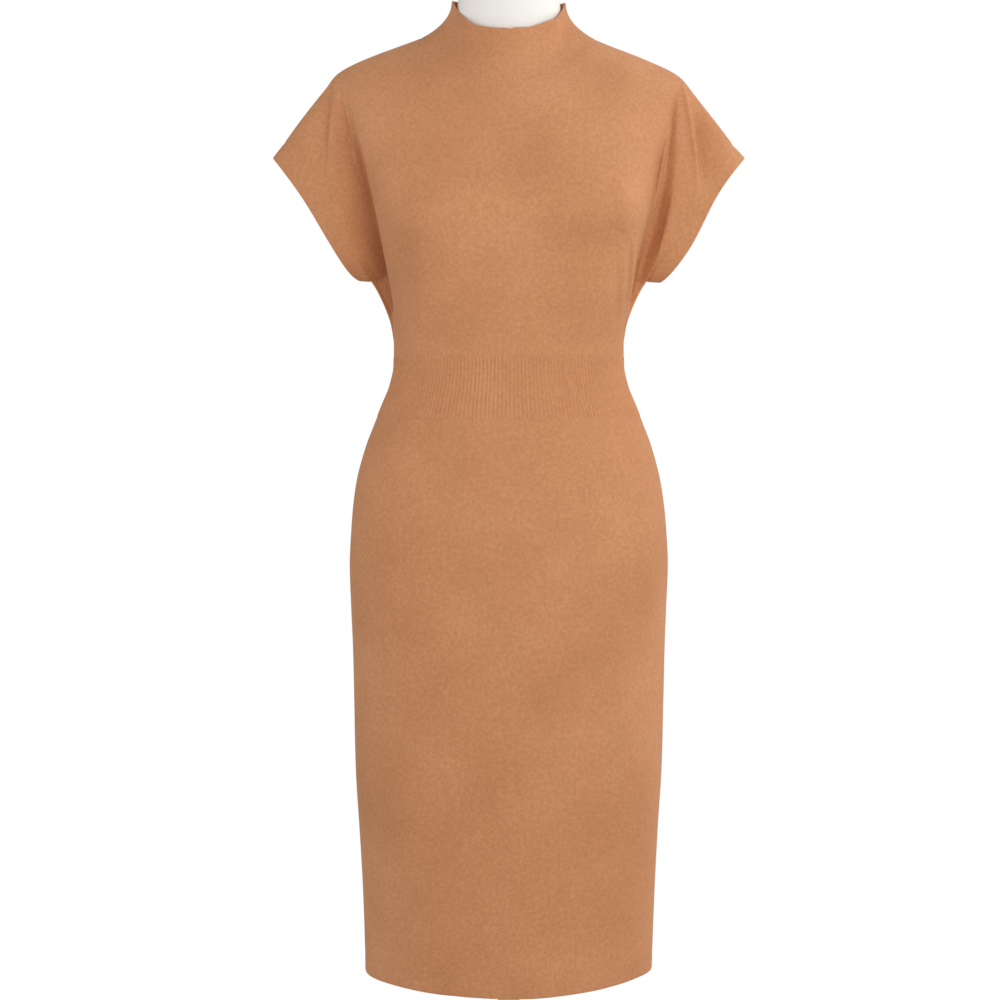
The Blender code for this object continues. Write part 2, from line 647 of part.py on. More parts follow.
# ---- Build ---------------------------------------------------------------------------------
for old in list(bpy.data.objects):
    bpy.data.objects.remove(old, do_unlink=True)

PARTS = bpy.data.collections.new("sweater_dress")
bpy.context.scene.collection.children.link(PARTS)

knit = finish("camel_knit", (0.539, 0.235, 0.107), 0.85)
rib_knit = finish("camel_rib_knit", (0.520, 0.225, 0.102), 0.85)
form_white = finish("form_white", (0.90, 0.87, 0.83), 0.55)
stand_paint = finish("stand_paint", (0.80, 0.79, 0.77), 0.40)

front_walls = bodice_walls("front")
back_walls = bodice_walls("back")
add_wall("bodice_front", *front_walls, knit)
add_wall("bodice_back", *back_walls, knit)
add_collar(front_walls, back_walls, knit)
add_cuff("cuff_left", front_walls, back_walls, 0, knit)
add_cuff("cuff_right", front_walls, back_walls, -1, knit)
for half in SIGN:
    add_waistband(half, rib_knit)
    add_skirt(half, knit)
add_hem_band(knit)
add_form(form_white)
add_stand(stand_paint)
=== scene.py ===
# %% [markdown]
# # A sweater dress on a dress form
#
# The real dress is fine-gauge knitwear. Front and back are knitted to shape, each in one
# with its half of the short dolman sleeves, and linked to a ribbed waistband, a pencil
# skirt and narrow bands at neck, cuffs and hem. It hangs on a limbless form on a pole.
#
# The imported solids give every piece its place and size. Each piece of cloth here is a thin
# shell on the form of its solid: it starts as a flat grid, as the knitting machine drops
# it, is shaped over the body, and gets its real lengths as its UV map.

import bmesh
import bpy
import numpy as np
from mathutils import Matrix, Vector


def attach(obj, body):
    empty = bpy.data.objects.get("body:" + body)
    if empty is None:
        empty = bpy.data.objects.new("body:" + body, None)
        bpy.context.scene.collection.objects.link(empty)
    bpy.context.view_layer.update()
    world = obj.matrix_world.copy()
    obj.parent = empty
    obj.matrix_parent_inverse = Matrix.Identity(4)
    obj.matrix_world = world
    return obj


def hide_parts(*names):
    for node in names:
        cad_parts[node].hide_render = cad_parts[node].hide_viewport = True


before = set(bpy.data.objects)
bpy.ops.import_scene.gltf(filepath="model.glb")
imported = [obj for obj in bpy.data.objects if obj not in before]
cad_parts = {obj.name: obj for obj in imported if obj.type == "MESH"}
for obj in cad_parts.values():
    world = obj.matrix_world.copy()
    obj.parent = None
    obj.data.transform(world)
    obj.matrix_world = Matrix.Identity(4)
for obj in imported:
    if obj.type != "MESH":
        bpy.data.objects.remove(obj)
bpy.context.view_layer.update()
print("solids:", ", ".join(sorted(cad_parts)))

# %% [markdown]
# ## Sizes
#
# A garment is measured flat and by heights on the stand, so the sizes are heights above
# the floor and distances from the middle, in metres. Horizontal sections give the body its
# width and its depth in front and behind. "squareness" tells how far an oval leans to a
# rectangle: 2 is an ellipse.

# %% Heights, walls and seams
HEM_BOTTOM, HEM_TOP = 0.330, 0.353
WAISTBAND_BOTTOM, WAISTBAND_TOP = 0.970, 1.039
KNIT_WALL = 0.0020
BAND_WALL = 0.0024
SEAM_GAP = 0.00006
SIGN = {"front": -1.0, "back": 1.0}

SECTION_COLUMNS = ("height", "half_width", "front", "back", "squareness")
SECTIONS = (
    (0.330, 0.1651, 0.1180, 0.1180, 2.00),
    (0.431, 0.1686, 0.1185, 0.1205, 2.02),
    (0.500, 0.1720, 0.1190, 0.1230, 2.05),
    (0.569, 0.1760, 0.1195, 0.1260, 2.08),
    (0.638, 0.1776, 0.1200, 0.1290, 2.10),
    (0.707, 0.1790, 0.1205, 0.1325, 2.12),
    (0.753, 0.1806, 0.1208, 0.1352, 2.15),
    (0.800, 0.1822, 0.1210, 0.1370, 2.15),
    (0.845, 0.1798, 0.1205, 0.1365, 2.15),
    (0.891, 0.1743, 0.1190, 0.1300, 2.12),
    (0.937, 0.1628, 0.1150, 0.1180, 2.10),
    (0.960, 0.1542, 0.1115, 0.1110, 2.08),
    (0.983, 0.1452, 0.1075, 0.1050, 2.05),
    (1.006, 0.1359, 0.1035, 0.1005, 2.05),
    (1.029, 0.1313, 0.1010, 0.0985, 2.05),
    (1.052, 0.1311, 0.1020, 0.0985, 2.08),
    (1.075, 0.1325, 0.1048, 0.0995, 2.30),
    (1.098, 0.1365, 0.1070, 0.1015, 2.60),
    (1.1235, 0.1420, 0.1090, 0.1040, 2.90),
    (1.140, 0.1450, 0.1120, 0.1055, 3.10),
    (1.163, 0.1490, 0.1165, 0.1070, 3.20),
    (1.200, 0.1570, 0.1230, 0.1095, 3.20),
    (1.240, 0.1665, 0.1192, 0.1115, 3.00),
    (1.274, 0.1755, 0.1095, 0.1120, 2.80),
    (1.304, 0.1845, 0.0998, 0.1095, 2.60),
    (1.343, 0.1960, 0.0865, 0.0980, 2.50),
    (1.360, 0.2000, 0.0785, 0.0890, 2.50),
    (1.395, 0.2050, 0.0660, 0.0720, 2.50),
    (1.440, 0.2050, 0.0620, 0.0600, 2.50),
)
print(len(SECTIONS), "sections")

# %% The side seam below the armpit, and the line over shoulder and sleeve
SEAM_COLUMNS = ("height", "across", "web")
SIDE_SEAM = (
    (1.0520, 0.1311, 0.0000),
    (1.0750, 0.1350, 0.0030),
    (1.0867, 0.1387, 0.0060),
    (1.0980, 0.1432, 0.0090),
    (1.1086, 0.1482, 0.0115),
    (1.1166, 0.1525, 0.0130),
    (1.1235, 0.1570, 0.0140),
)
SHOULDER_COLUMNS = ("across", "height")
SHOULDER_LINE = (
    (0.0000, 1.4370),
    (0.1035, 1.3970),
    (0.1250, 1.3885),
    (0.1495, 1.3790),
    (0.1830, 1.3645),
    (0.1960, 1.3560),
    (0.2105, 1.3385),
    (0.2260, 1.3190),
    (0.2400, 1.3006),
    (0.2555, 1.2788),
    (0.2685, 1.2600),
)
# The form's shoulders are level, but cloth never lies quite the same on both.
SETTLE_COLUMNS = ("across", "rise")
SHOULDER_SETTLE = (
    (-0.2685, 0.0000),
    (-0.2600, 0.0018),
    (-0.2350, 0.0014),
    (-0.2140, 0.0010),
    (-0.1930, 0.0016),
    (-0.1580, 0.0016),
    (-0.1250, 0.0010),
    (-0.1000, 0.0004),
    (0.0000, 0.0000),
    (0.0800, -0.0009),
    (0.1100, -0.0022),
    (0.1500, -0.0020),
    (0.2000, -0.0023),
    (0.2350, -0.0018),
    (0.2685, 0.0000),
)
ROUND_COLUMNS = ("across", "front", "back")
SHOULDER_ROUND = (
    (0.000, 0.114, 0.060),
    (0.090, 0.114, 0.065),
    (0.150, 0.085, 0.095),
    (0.300, 0.080, 0.100),
)
print("sleeve end:", SHOULDER_LINE[-1][0], "m from the middle")

# %% [markdown]
# A curve through such a table must not swing past its rows, or the cloth would bulge
# between them. A monotone cubic does that: at each row its slope is the harmonic mean of
# the slopes on both sides, and flat at a turn.

# %% Read a table by the names of its columns


def named_rows(columns, table):
    return [dict(zip(columns, row)) for row in table]


def read(table, columns, name, at):
    """One column of a table, on a smooth curve through its rows."""
    knots = np.array([row[0] for row in table])
    values = np.array([row[columns.index(name)] for row in table])
    steps = np.diff(knots)
    slopes = np.diff(values) / steps
    same_way = slopes[:-1] * slopes[1:] > 0
    safe = np.where(same_way, slopes[:-1] + slopes[1:], 1.0)
    inner = np.where(same_way, 2 * slopes[:-1] * slopes[1:] / safe, 0.0)
    tangents = np.concatenate([slopes[:1], inner, slopes[-1:]])
    at = np.clip(np.asarray(at, float), knots[0], knots[-1])
    left = np.clip(np.searchsorted(knots, at) - 1, 0, len(steps) - 1)
    step = steps[left]
    t = (at - knots[left]) / step
    rise = values[left + 1] - values[left]
    start, end = tangents[left] * step, tangents[left + 1] * step
    curve = start + t * (3 * rise - 2 * start - end + t * (start + end - 2 * rise))
    return values[left] + t * curve


def section(name, height):
    return read(SECTIONS, SECTION_COLUMNS, name, height)


print("waist half width:", float(section("half_width", WAISTBAND_TOP)))

# %% Three ways to go from nothing to all
# A straight fade, a smooth one and a bell do most of the shaping from here on.


def fade(distance, reach):
    return np.clip(distance / reach, 0, 1)


def smooth(share):
    return share * share * (3 - 2 * share)


def bell(distance, width):
    return np.exp(-((distance / width) ** 2))


print("a quarter of the way:", fade(1, 4), smooth(0.25), bell(1, 4))

# %% [markdown]
# ## The body under the cloth
#
# On the body, the cloth's depth is an oval at each height, rounded off towards the
# shoulder line, with two soft mounds that the front bridges. The dolman sleeve is a second
# shape beside it. Where the two meet, the larger depth wins, with a rounded valley.

# %% The body's and the sleeve's depth
BUST_ACROSS, BUST_HEIGHT, BUST_RADIUS, BUST_RISE = 0.088, 1.196, 0.046, 0.005
# Between these heights the cloth has slipped a little to the right.
SLIP = 0.0035
SLIP_HEIGHTS, SLIP_SHARES = (1.080, 1.120, 1.190, 1.260), (0, 1, 1, 0)
ARMPIT_ACROSS, ARMPIT_HEIGHT = 0.157, 1.1235
SLEEVE_TOP_ACROSS = 0.2555
SLEEVE_HALF_DEPTH = 0.042
SLEEVE_BLEND = 0.007
# Keeps a division from failing where a length is zero, and squared where an area is.
NOTHING = 1e-9
# The shoulder line is rounded in the middle, so that both sides meet without a kink.
MIDDLE_ROUND = 0.012


def shoulder_height(across):
    level = read(SHOULDER_LINE, SHOULDER_COLUMNS, "height", np.hypot(across, MIDDLE_ROUND))
    return level + read(SHOULDER_SETTLE, SETTLE_COLUMNS, "rise", across)


def body_depth(panel, across, height, ease=0.0, slim=0.0, drop=0.0):
    """How far a panel lies from the plane of the side seams.

    ease, slim and drop make it smaller in front, at the sides and on top, for the form inside.
    """
    square = section("squareness", height)
    across = across - SLIP * smooth(np.interp(height, SLIP_HEIGHTS, SLIP_SHARES))
    inside = np.clip(1 - (np.abs(across) / (section("half_width", height) - slim)) ** square, 0, 1)
    inside = inside ** (1 / square)
    rounding = read(SHOULDER_ROUND, ROUND_COLUMNS, panel, np.abs(across))
    below = fade(shoulder_height(across) - drop - height, rounding)
    depth = (section(panel, height) - ease) * inside * np.sqrt(1 - (1 - below) ** 2)
    if panel == "front":
        away = np.hypot(np.abs(across) - BUST_ACROSS, height - BUST_HEIGHT)
        depth = depth + BUST_RISE * bell(away, BUST_RADIUS) * inside
    return depth


def soft_max(a, b, reach):
    """The larger of two depths, rounded where they are nearly the same."""
    reach = np.minimum(reach, np.maximum(np.maximum(a, b), NOTHING))
    near = np.clip(1 - np.abs(a - b) / reach, 0, 1)
    return np.maximum(a, b) + near * near * reach / 4


print("bust depth:", float(body_depth("front", BUST_ACROSS, BUST_HEIGHT)))

# %% [markdown]
# ## Folds
#
# Knit this fine hangs nearly smooth. What folds it has come from the sleeves: the cloth is
# slack between shoulder point and armpit, so soft troughs run down both sides of the
# chest, and smaller ones fan out over the sleeves. No two are alike in length, depth and
# distance, and that is what makes cloth look like cloth, so each is given one by one in a
# table: three points of its run, half its width, its depth, its lean, which makes one flank
# steeper, and its peak, where along the run it is deepest. A depth below zero is a ridge.

# %% The folds of the bodice
FOLD_COLUMNS = ("x0", "z0", "x1", "z1", "x2", "z2", "width", "depth", "lean", "peak")
FOLDS = {
    "front": (
        (-0.187, 1.334, -0.159, 1.203, -0.135, 1.07, 0.0098, 0.015, 0.75, 0.6),
        (-0.158, 1.185, -0.148, 1.138, -0.135, 1.074, 0.0068, 0.01, 0.6, 0.6),
        (-0.192, 1.235, -0.186, 1.185, -0.172, 1.14, 0.011, -0.0045, 0.0, 0.5),
        (-0.1915, 1.332, -0.186, 1.295, -0.177, 1.25, 0.0046, 0.005, 0.5, 0.45),
        (-0.2015, 1.35, -0.2065, 1.3, -0.2085, 1.232, 0.0046, 0.0052, 0.3, 0.3),
        (-0.197, 1.318, -0.196, 1.27, -0.191, 1.226, 0.006, -0.0025, 0.0, 0.4),
        (-0.113, 1.178, -0.12, 1.115, -0.1235, 1.05, 0.013, 0.0036, 0.2, 0.45),
        (-0.096, 1.212, -0.104, 1.19, -0.114, 1.168, 0.016, -0.0034, 0.0, 0.5),
        (-0.102, 1.15, -0.109, 1.104, -0.114, 1.05, 0.008, 0.0014, 0.0, 0.5),
        (-0.146, 1.372, -0.144, 1.335, -0.138, 1.29, 0.02, 0.004, 0.0, 0.5),
        (0.158, 1.376, 0.156, 1.338, 0.149, 1.28, 0.019, 0.005, 0.0, 0.42),
        (0.1835, 1.33, 0.1735, 1.264, 0.159, 1.185, 0.003, -0.0054, 0.5, 0.45),
        (0.186, 1.325, 0.173, 1.205, 0.1375, 1.085, 0.0052, 0.0105, 0.4, 0.66),
        (0.165, 1.205, 0.1495, 1.145, 0.135, 1.078, 0.0045, 0.006, 0.4, 0.6),
        (0.188, 1.335, 0.1835, 1.29, 0.177, 1.235, 0.0036, 0.003, 0.5, 0.45),
        (0.187, 1.228, 0.178, 1.188, 0.16, 1.14, 0.009, -0.005, 0.0, 0.5),
        (0.1965, 1.345, 0.2085, 1.285, 0.212, 1.215, 0.0025, -0.0062, 0.5, 0.4),
        (0.2045, 1.336, 0.2175, 1.283, 0.2215, 1.215, 0.0105, 0.012, -0.5, 0.5),
        (0.232, 1.292, 0.236, 1.258, 0.226, 1.205, 0.014, 0.003, -0.3, 0.5),
        (0.139, 1.172, 0.1388, 1.128, 0.134, 1.08, 0.0028, -0.006, 0.3, 0.5),
        (0.1345, 1.162, 0.1335, 1.122, 0.131, 1.082, 0.004, 0.0026, 0.0, 0.5),
        (0.129, 1.162, 0.1275, 1.122, 0.125, 1.078, 0.0036, -0.002, 0.0, 0.5),
        (0.117, 1.145, 0.122, 1.1, 0.124, 1.052, 0.007, 0.002, 0.0, 0.5),
        (0.114, 1.232, 0.127, 1.208, 0.124, 1.174, 0.0125, -0.0072, 0.0, 0.5),
        (0.05, 1.148, 0.092, 1.154, 0.132, 1.172, 0.016, 0.0026, 0.0, 0.6),
    ),
    "back": (
        (-0.165, 1.21, -0.155, 1.15, -0.138, 1.092, 0.0095, 0.01, 0.35, 0.6),
        (-0.205, 1.338, -0.211, 1.285, -0.216, 1.235, 0.008, -0.0044, 0.2, 0.4),
        (-0.112, 1.185, -0.119, 1.12, -0.123, 1.06, 0.013, 0.0034, 0.2, 0.5),
        (-0.19, 1.3, -0.178, 1.236, -0.165, 1.186, 0.01, 0.005, 0.3, 0.6),
        (-0.06, 1.096, -0.066, 1.07, -0.069, 1.046, 0.01, 0.0014, 0.0, 0.5),
        (0.168, 1.225, 0.157, 1.155, 0.139, 1.094, 0.01, 0.0105, 0.3, 0.62),
        (0.202, 1.34, 0.205, 1.29, 0.211, 1.235, 0.006, 0.004, 0.2, 0.4),
        (0.108, 1.175, 0.116, 1.115, 0.122, 1.058, 0.012, 0.003, 0.2, 0.5),
        (0.188, 1.296, 0.178, 1.24, 0.17, 1.204, 0.009, 0.004, 0.3, 0.55),
        (0.044, 1.102, 0.052, 1.074, 0.054, 1.046, 0.011, 0.0012, 0.0, 0.5),
    ),
}
print({panel: len(rows) for panel, rows in FOLDS.items()}, "folds")

# %% The relief of waves and folds
# Waves of the whole cloth, far softer: length, direction in degrees, start and height.
WAVE_COLUMNS = ("length", "turn", "start", "height")
BODICE_WAVES, SKIRT_WAVES = 0.40, 0.22
WAVES = (
    (0.310, 12, 0.4, 0.0007),
    (0.190, 74, 2.1, 0.0004),
    (0.127, 151, 4.0, 0.0003),
    (0.083, 38, 5.2, 0.00018),
)
# The width at a fold's ends, and what is added in its middle, as shares of its full one.
FOLD_ENDS, FOLD_SWELL = 0.85, 0.30
RUN_POINTS = 15


def waves(across, height, shift):
    total = 0.0
    for wave in named_rows(WAVE_COLUMNS, WAVES):
        turn = np.radians(wave["turn"])
        along = across * np.cos(turn) + height * np.sin(turn)
        total = total + wave["height"] * np.sin(2 * np.pi * along / wave["length"] + wave["start"] + shift)
    return total


def follow(run, across, height):
    """How far each point is from a run, on which side, and how far along it, from 0 to 1."""
    gone = np.concatenate([[0], np.cumsum(np.linalg.norm(np.diff(run, axis=0), axis=1))])
    shape = np.broadcast(across, height).shape
    nearest, side, along = np.full(shape, np.inf), np.zeros(shape), np.zeros(shape)
    for k in range(len(run) - 1):
        step = run[k + 1] - run[k]
        to_x, to_z = across - run[k][0], height - run[k][1]
        share = fade(to_x * step[0] + to_z * step[1], step @ step)
        away = np.hypot(to_x - share * step[0], to_z - share * step[1])
        closer = away < nearest
        side = np.where(closer, np.sign(to_x * step[1] - to_z * step[0]), side)
        along = np.where(closer, (gone[k] + share * (gone[k + 1] - gone[k])) / gone[-1], along)
        nearest = np.minimum(nearest, away)
    return nearest, side, np.clip(along, 0, 1)


def fold_relief(rows, across, height):
    """The depth of a panel's folds at each point. A fold's run is a curve through its points."""
    total = np.zeros(np.broadcast(across, height).shape)
    for fold in named_rows(FOLD_COLUMNS, rows):
        start, middle, end = (np.array([fold[f"x{k}"], fold[f"z{k}"]]) for k in range(3))
        pull = 2 * middle - (start + end) / 2
        t = np.linspace(0, 1, RUN_POINTS)[:, None]
        run = (1 - t) ** 2 * start + 2 * t * (1 - t) * pull + t * t * end
        nearest, side, along = follow(run, across, height)
        taper = np.sin(np.pi * along ** (np.log(0.5) / np.log(fold["peak"])))
        width = fold["width"] * (FOLD_ENDS + FOLD_SWELL * taper)
        lean = 1 + fold["lean"] * side * np.tanh(nearest / fold["width"])
        total += fold["depth"] * taper * bell(nearest, width * lean)
    return total


first = FOLDS["front"][:1]
shown = fold_relief(first, np.array(first[0][2]), np.array(first[0][3]))
print("the first fold's depth half way along:", float(shown))

# %% [markdown]
# ## From a flat grid to cloth
#
# Every piece starts as bmesh's flat grid. Its columns and rows become u from -1 to 1 and v
# from 0 to 1, a shape function says where each point of the flat piece lies on the dress,
# and the distances between the placed points, added up, are the UV map in metres. So a
# knitting pattern on it has its real size everywhere. A tube is a grid that is rolled up,
# and its two ends are merged. A free knitted edge rolls in by half a millimetre and a
# linked one by less, which draws every seam as a shallow groove. Solidify gives the wall,
# inwards. Its rim starts at a sharp edge, so the wide faces beside it keep their shading.

# %% Grids and meshes
# The ends of a tube are merged at this distance, which is far less than one stitch.
MERGE_DISTANCE = 0.00002


def crowded(v, even=0.15):
    """Rows that stand closer at both ends, where the seams are."""
    return (1 - even) * (1 - np.cos(np.pi * v)) / 2 + even * v


def flat_grid(columns, rows):
    """A flat grid, the order of its points row by row, and their u and v."""
    bm = bmesh.new()
    bmesh.ops.create_grid(bm, x_segments=columns, y_segments=rows, size=1)
    flat = np.array([v.co[:2] for v in bm.verts])
    order = np.lexsort((flat[:, 0], flat[:, 1].round(6)))
    u, v = (flat[order, k].reshape(rows + 1, columns + 1) for k in range(2))
    return bm, order, u, v / 2 + 0.5


def move_points(bm, order, place):
    at = np.empty((len(order), 3))
    at[order] = place.reshape(-1, 3)
    for vert in bm.verts:
        vert.co = at[vert.index]


def new_object(name, bm):
    mesh = bpy.data.meshes.new(name)
    bm.to_mesh(mesh)
    bm.free()
    thing = bpy.data.objects.new(name, mesh)
    bpy.context.scene.collection.objects.link(thing)
    return thing


print("rows of a piece:", [round(float(v), 3) for v in crowded(np.linspace(0, 1, 6))])

# %% Make a piece of cloth
EDGE_REACH = 0.0013
FREE_EDGE, CUFF_EDGE, LINKED_EDGE, JOINED_EDGE = 0.0005, 0.0004, 0.00016, 0.00005


def lengths_along(place, axis, counted):
    """How far each point is from the first one of its row or column, along the cloth."""
    steps = np.linalg.norm(np.diff(place, axis=axis) * counted, axis=2)
    return np.cumsum(np.insert(steps, 0, 0.0, axis=axis), axis=axis)


def cloth(name, columns, rows, shape, draw, wall=KNIT_WALL, tube=False):
    """draw is how far the bottom, top and side edges roll in.

    On a panel the knit's columns stay upright, so its widths are measured level.
    """
    bm, order, u, v = flat_grid(columns, rows)
    place = shape(u, v)
    wide = lengths_along(place, 1, (1, 1, tube))
    high = lengths_along(place, 0, (tube, 1, 1))
    hub = place.mean(axis=(0, 1)) * (1 if tube else np.array([0, 0, 1]))
    normal = np.cross(np.gradient(place, axis=1), np.gradient(place, axis=0))
    normal /= np.maximum(np.linalg.norm(normal, axis=2, keepdims=True), NOTHING**2)
    normal *= np.sign(((place - hub) * normal).sum())
    rolled = 0.0
    for depth, away in zip(draw, (high, high[-1] - high, wide, wide[:, -1:] - wide)):
        rolled = np.maximum(rolled, depth * bell(away, EDGE_REACH))
    place = place - normal * rolled[..., None]
    uv = np.empty((len(order), 2))
    uv[order] = np.stack([wide - wide[:, columns // 2, None], high], axis=2).reshape(-1, 2)
    layer = bm.loops.layers.uv.new("knit")
    for face in bm.faces:
        for loop in face.loops:
            loop[layer].uv = uv[loop.vert.index]
    move_points(bm, order, place)
    if tube:
        bmesh.ops.remove_doubles(bm, verts=bm.verts[:], dist=MERGE_DISTANCE)
    bmesh.ops.recalc_face_normals(bm, faces=bm.faces[:])
    facing = sum(f.normal.dot(f.calc_center_median() - Vector(hub)) for f in bm.faces)
    if facing < 0:
        bmesh.ops.reverse_faces(bm, faces=bm.faces[:])
    for edge in bm.edges:
        edge.smooth = not edge.is_boundary
    area = sum(face.calc_area() for face in bm.faces)
    piece = new_object(name, bm)
    thick = piece.modifiers.new("wall", "SOLIDIFY")
    thick.thickness = wall
    thick.offset = -1
    width, length = wide[:, -1].max(), high[-1].max()
    print(f"{name}: {area:.4f} m2 of cloth, {width:.3f} x {length:.3f} m")
    return piece


# %% [markdown]
# ## Front and back
#
# Below the armpit the rows are level and run from side seam to side seam. Above it they
# lift, row by row, to the top edge: the neckline in the middle, then the shoulder, then the
# top of the sleeve. The neckline is an oval seen from above, and halving finds the height
# at which the body meets it.

# %% The bodice's edges
NECK_HALF_WIDTH = 0.100
NECK_HEIGHT = {"front": 1.343, "back": 1.403}
# Share of a panel's half width at the top that is neckline, and of its rows below the armpit.
NECK_SHARE = 0.35
LOWER_SHARE = 0.22
# The halving for the neckline starts here, below all of it.
SEARCH_BOTTOM, SEARCH_STEPS = 1.318, 40
HALF_GAP = SEAM_GAP / 2


def side_edge(height):
    seam = read(SIDE_SEAM, SEAM_COLUMNS, "across", height)
    return np.where(height > SIDE_SEAM[0][0], seam, section("half_width", height))


def edge_across(row):
    return ARMPIT_ACROSS + (SLEEVE_TOP_ACROSS - ARMPIT_ACROSS) * row


def neckline_height(panel, across, share):
    middle = body_depth(panel, 0.0, NECK_HEIGHT[panel])
    low = np.full(across.shape, SEARCH_BOTTOM)
    high = shoulder_height(across)
    for _ in range(SEARCH_STEPS):
        half = (low + high) / 2
        inside = body_depth(panel, across, half) > middle * share
        low, high = np.where(inside, half, low), np.where(inside, high, half)
    return high


def top_edge(panel, u):
    size = np.abs(u)
    angle = np.pi / 2 * fade(size, NECK_SHARE)
    out = (SLEEVE_TOP_ACROSS - NECK_HALF_WIDTH) * fade(size - NECK_SHARE, 1 - NECK_SHARE)
    across = np.sign(u) * (NECK_HALF_WIDTH * np.sin(angle) + out)
    neckline = neckline_height(panel, across, np.cos(angle))
    return across, np.where(size > NECK_SHARE, shoulder_height(across), neckline)


print("sleeve top across:", float(top_edge("front", np.array([1.0]))[0][0]))

# %% [markdown]
# The cloth is free to fold in the middle of a panel, and held at its seams. So the folds
# fade out towards the side seam, and beside the cuff they keep a part of their depth. A
# deep trough beside the arm also tucks under the body, by a share of its own depth.

# %% Shape the bodice
# Shares of a panel's half width and of its rows over which folds and waves fade out.
SIDE_FADE, WAIST_FADE, TOP_FADE = 0.12, 0.06, 0.08
# The part of their depth that folds keep beside the cuff, and how soon from its ends.
CUFF_FREEDOM, CUFF_RECOVERY = 0.6, 5
# Cloth that is less than this in front of the seams' plane is held too.
FREE_DEPTH = 0.012
# Nothing tucks in the middle, and all of it at this distance from there.
TUCK, TUCK_ACROSS = 0.55, 0.10
BODICE_COLUMNS, BODICE_ROWS = 264, 172
# The inner 38 % of a half panel's columns cover 55 % of its width. So the others stand
# closer, where the folds beside the arms are sharp.
COLUMN_SHARES, WIDTH_SHARES = (0.0, 0.38, 0.85, 1.0), (0.0, 0.55, 0.86, 1.0)
BODICE_DRAW = (JOINED_EDGE, LINKED_EDGE, CUFF_EDGE, CUFF_EDGE)


def bodice(panel):
    def shape(u, v):
        spread = np.sin(u * np.pi / 2)
        row = crowded(fade(v - LOWER_SHARE, 1 - LOWER_SHARE))
        start = WAISTBAND_TOP + SEAM_GAP
        low = start + (ARMPIT_HEIGHT - start) * fade(v, LOWER_SHARE)
        top_across, top_height = (edge[None, :] for edge in top_edge(panel, u[0]))
        mix = smooth(row)
        lifted = edge_across(row) * ((1 - mix) * spread + mix * top_across / SLEEVE_TOP_ACROSS)
        across = np.where(row > 0, lifted, side_edge(low) * spread)
        height = np.where(row > 0, ARMPIT_HEIGHT + (top_height - ARMPIT_HEIGHT) * row, low)
        edge = np.where(row > 0, edge_across(row), side_edge(height))
        web = read(SIDE_SEAM, SEAM_COLUMNS, "web", height) * (1 - row)
        inward = fade(edge - np.abs(across), np.maximum(web, NOTHING))
        web = web * np.sqrt(1 - (1 - inward) ** 2)
        sleeve = np.hypot(2 * SLEEVE_HALF_DEPTH * np.sqrt(row * (1 - row)), web)
        depth = soft_max(body_depth(panel, across, height), sleeve, SLEEVE_BLEND)
        inner = fade(1 - np.abs(u), SIDE_FADE)
        at_cuff = CUFF_FREEDOM * np.clip(CUFF_RECOVERY * row * (1 - row), 0, 1)
        free = fade(depth, FREE_DEPTH) * (inner + (1 - inner) * at_cuff)
        wavy = BODICE_WAVES * np.minimum(fade(v, WAIST_FADE), fade(1 - v, TOP_FADE))
        relief = fold_relief(FOLDS[panel], across, height)
        relief = relief + waves(across, height, SIGN[panel]) * wavy
        tucked = TUCK * np.clip(free * relief, 0, None) * fade(np.abs(across), TUCK_ACROSS) ** 4
        depth = np.maximum(depth - free * relief, HALF_GAP)
        across = across - np.sign(across) * tucked
        return np.stack([across, SIGN[panel] * depth, height], axis=2)

    return shape


bodice_shapes = {panel: bodice(panel) for panel in SIGN}


def bodice_panel(panel):
    def shape(u, v):
        closer = np.sign(u) * np.interp(np.abs(u), COLUMN_SHARES, WIDTH_SHARES)
        return bodice_shapes[panel](closer, v)

    return cloth(f"knit_{panel}", BODICE_COLUMNS, BODICE_ROWS, shape, BODICE_DRAW)


bodices = {panel: bodice_panel(panel) for panel in SIGN}

# %% [markdown]
# ## The dress form
#
# The form is a moulded shell whose neck shows above the collar. It has the body's sections,
# a few millimetres inside the cloth, and is slimmer beside the armpits, where the folds of
# the sleeves run deep. Its neck is an oval that flares into the shoulders.

# %% One ring of the form
FORM_BOTTOM, FORM_TOP, FORM_EDGE_ROUND = 0.690, 1.480, 0.006
FORM_DEPTH_EASE = 0.0085
EASE_COLUMNS = ("height", "slim")
FORM_SIDE_EASE = (
    (0.690, 0.0085),
    (1.040, 0.0085),
    (1.090, 0.0200),
    (1.160, 0.0300),
    (1.240, 0.0300),
    (1.300, 0.0200),
    (1.350, 0.0100),
    (1.480, 0.0100),
)
FORM_NECK_COLUMNS = ("height", "half_width", "depth")
FORM_NECK = (
    (1.330, 0.0850, 0.0550),
    (1.360, 0.0790, 0.0560),
    (1.385, 0.0660, 0.0550),
    (1.400, 0.0630, 0.0550),
    (1.420, 0.0604, 0.0560),
    (1.445, 0.0575, 0.0560),
    (1.480, 0.0575, 0.0560),
)
FORM_COLUMNS = 128
# The form's shoulders lie this far under the cloth, and further from this height upwards.
FORM_SHOULDER_GAP, FORM_NECK_GAP = 0.0060, 0.0030
NECK_GAP_START, NECK_GAP_REACH = 1.378, 0.014
FORM_NECK_BLEND = 0.010
LINE_POINTS = 601


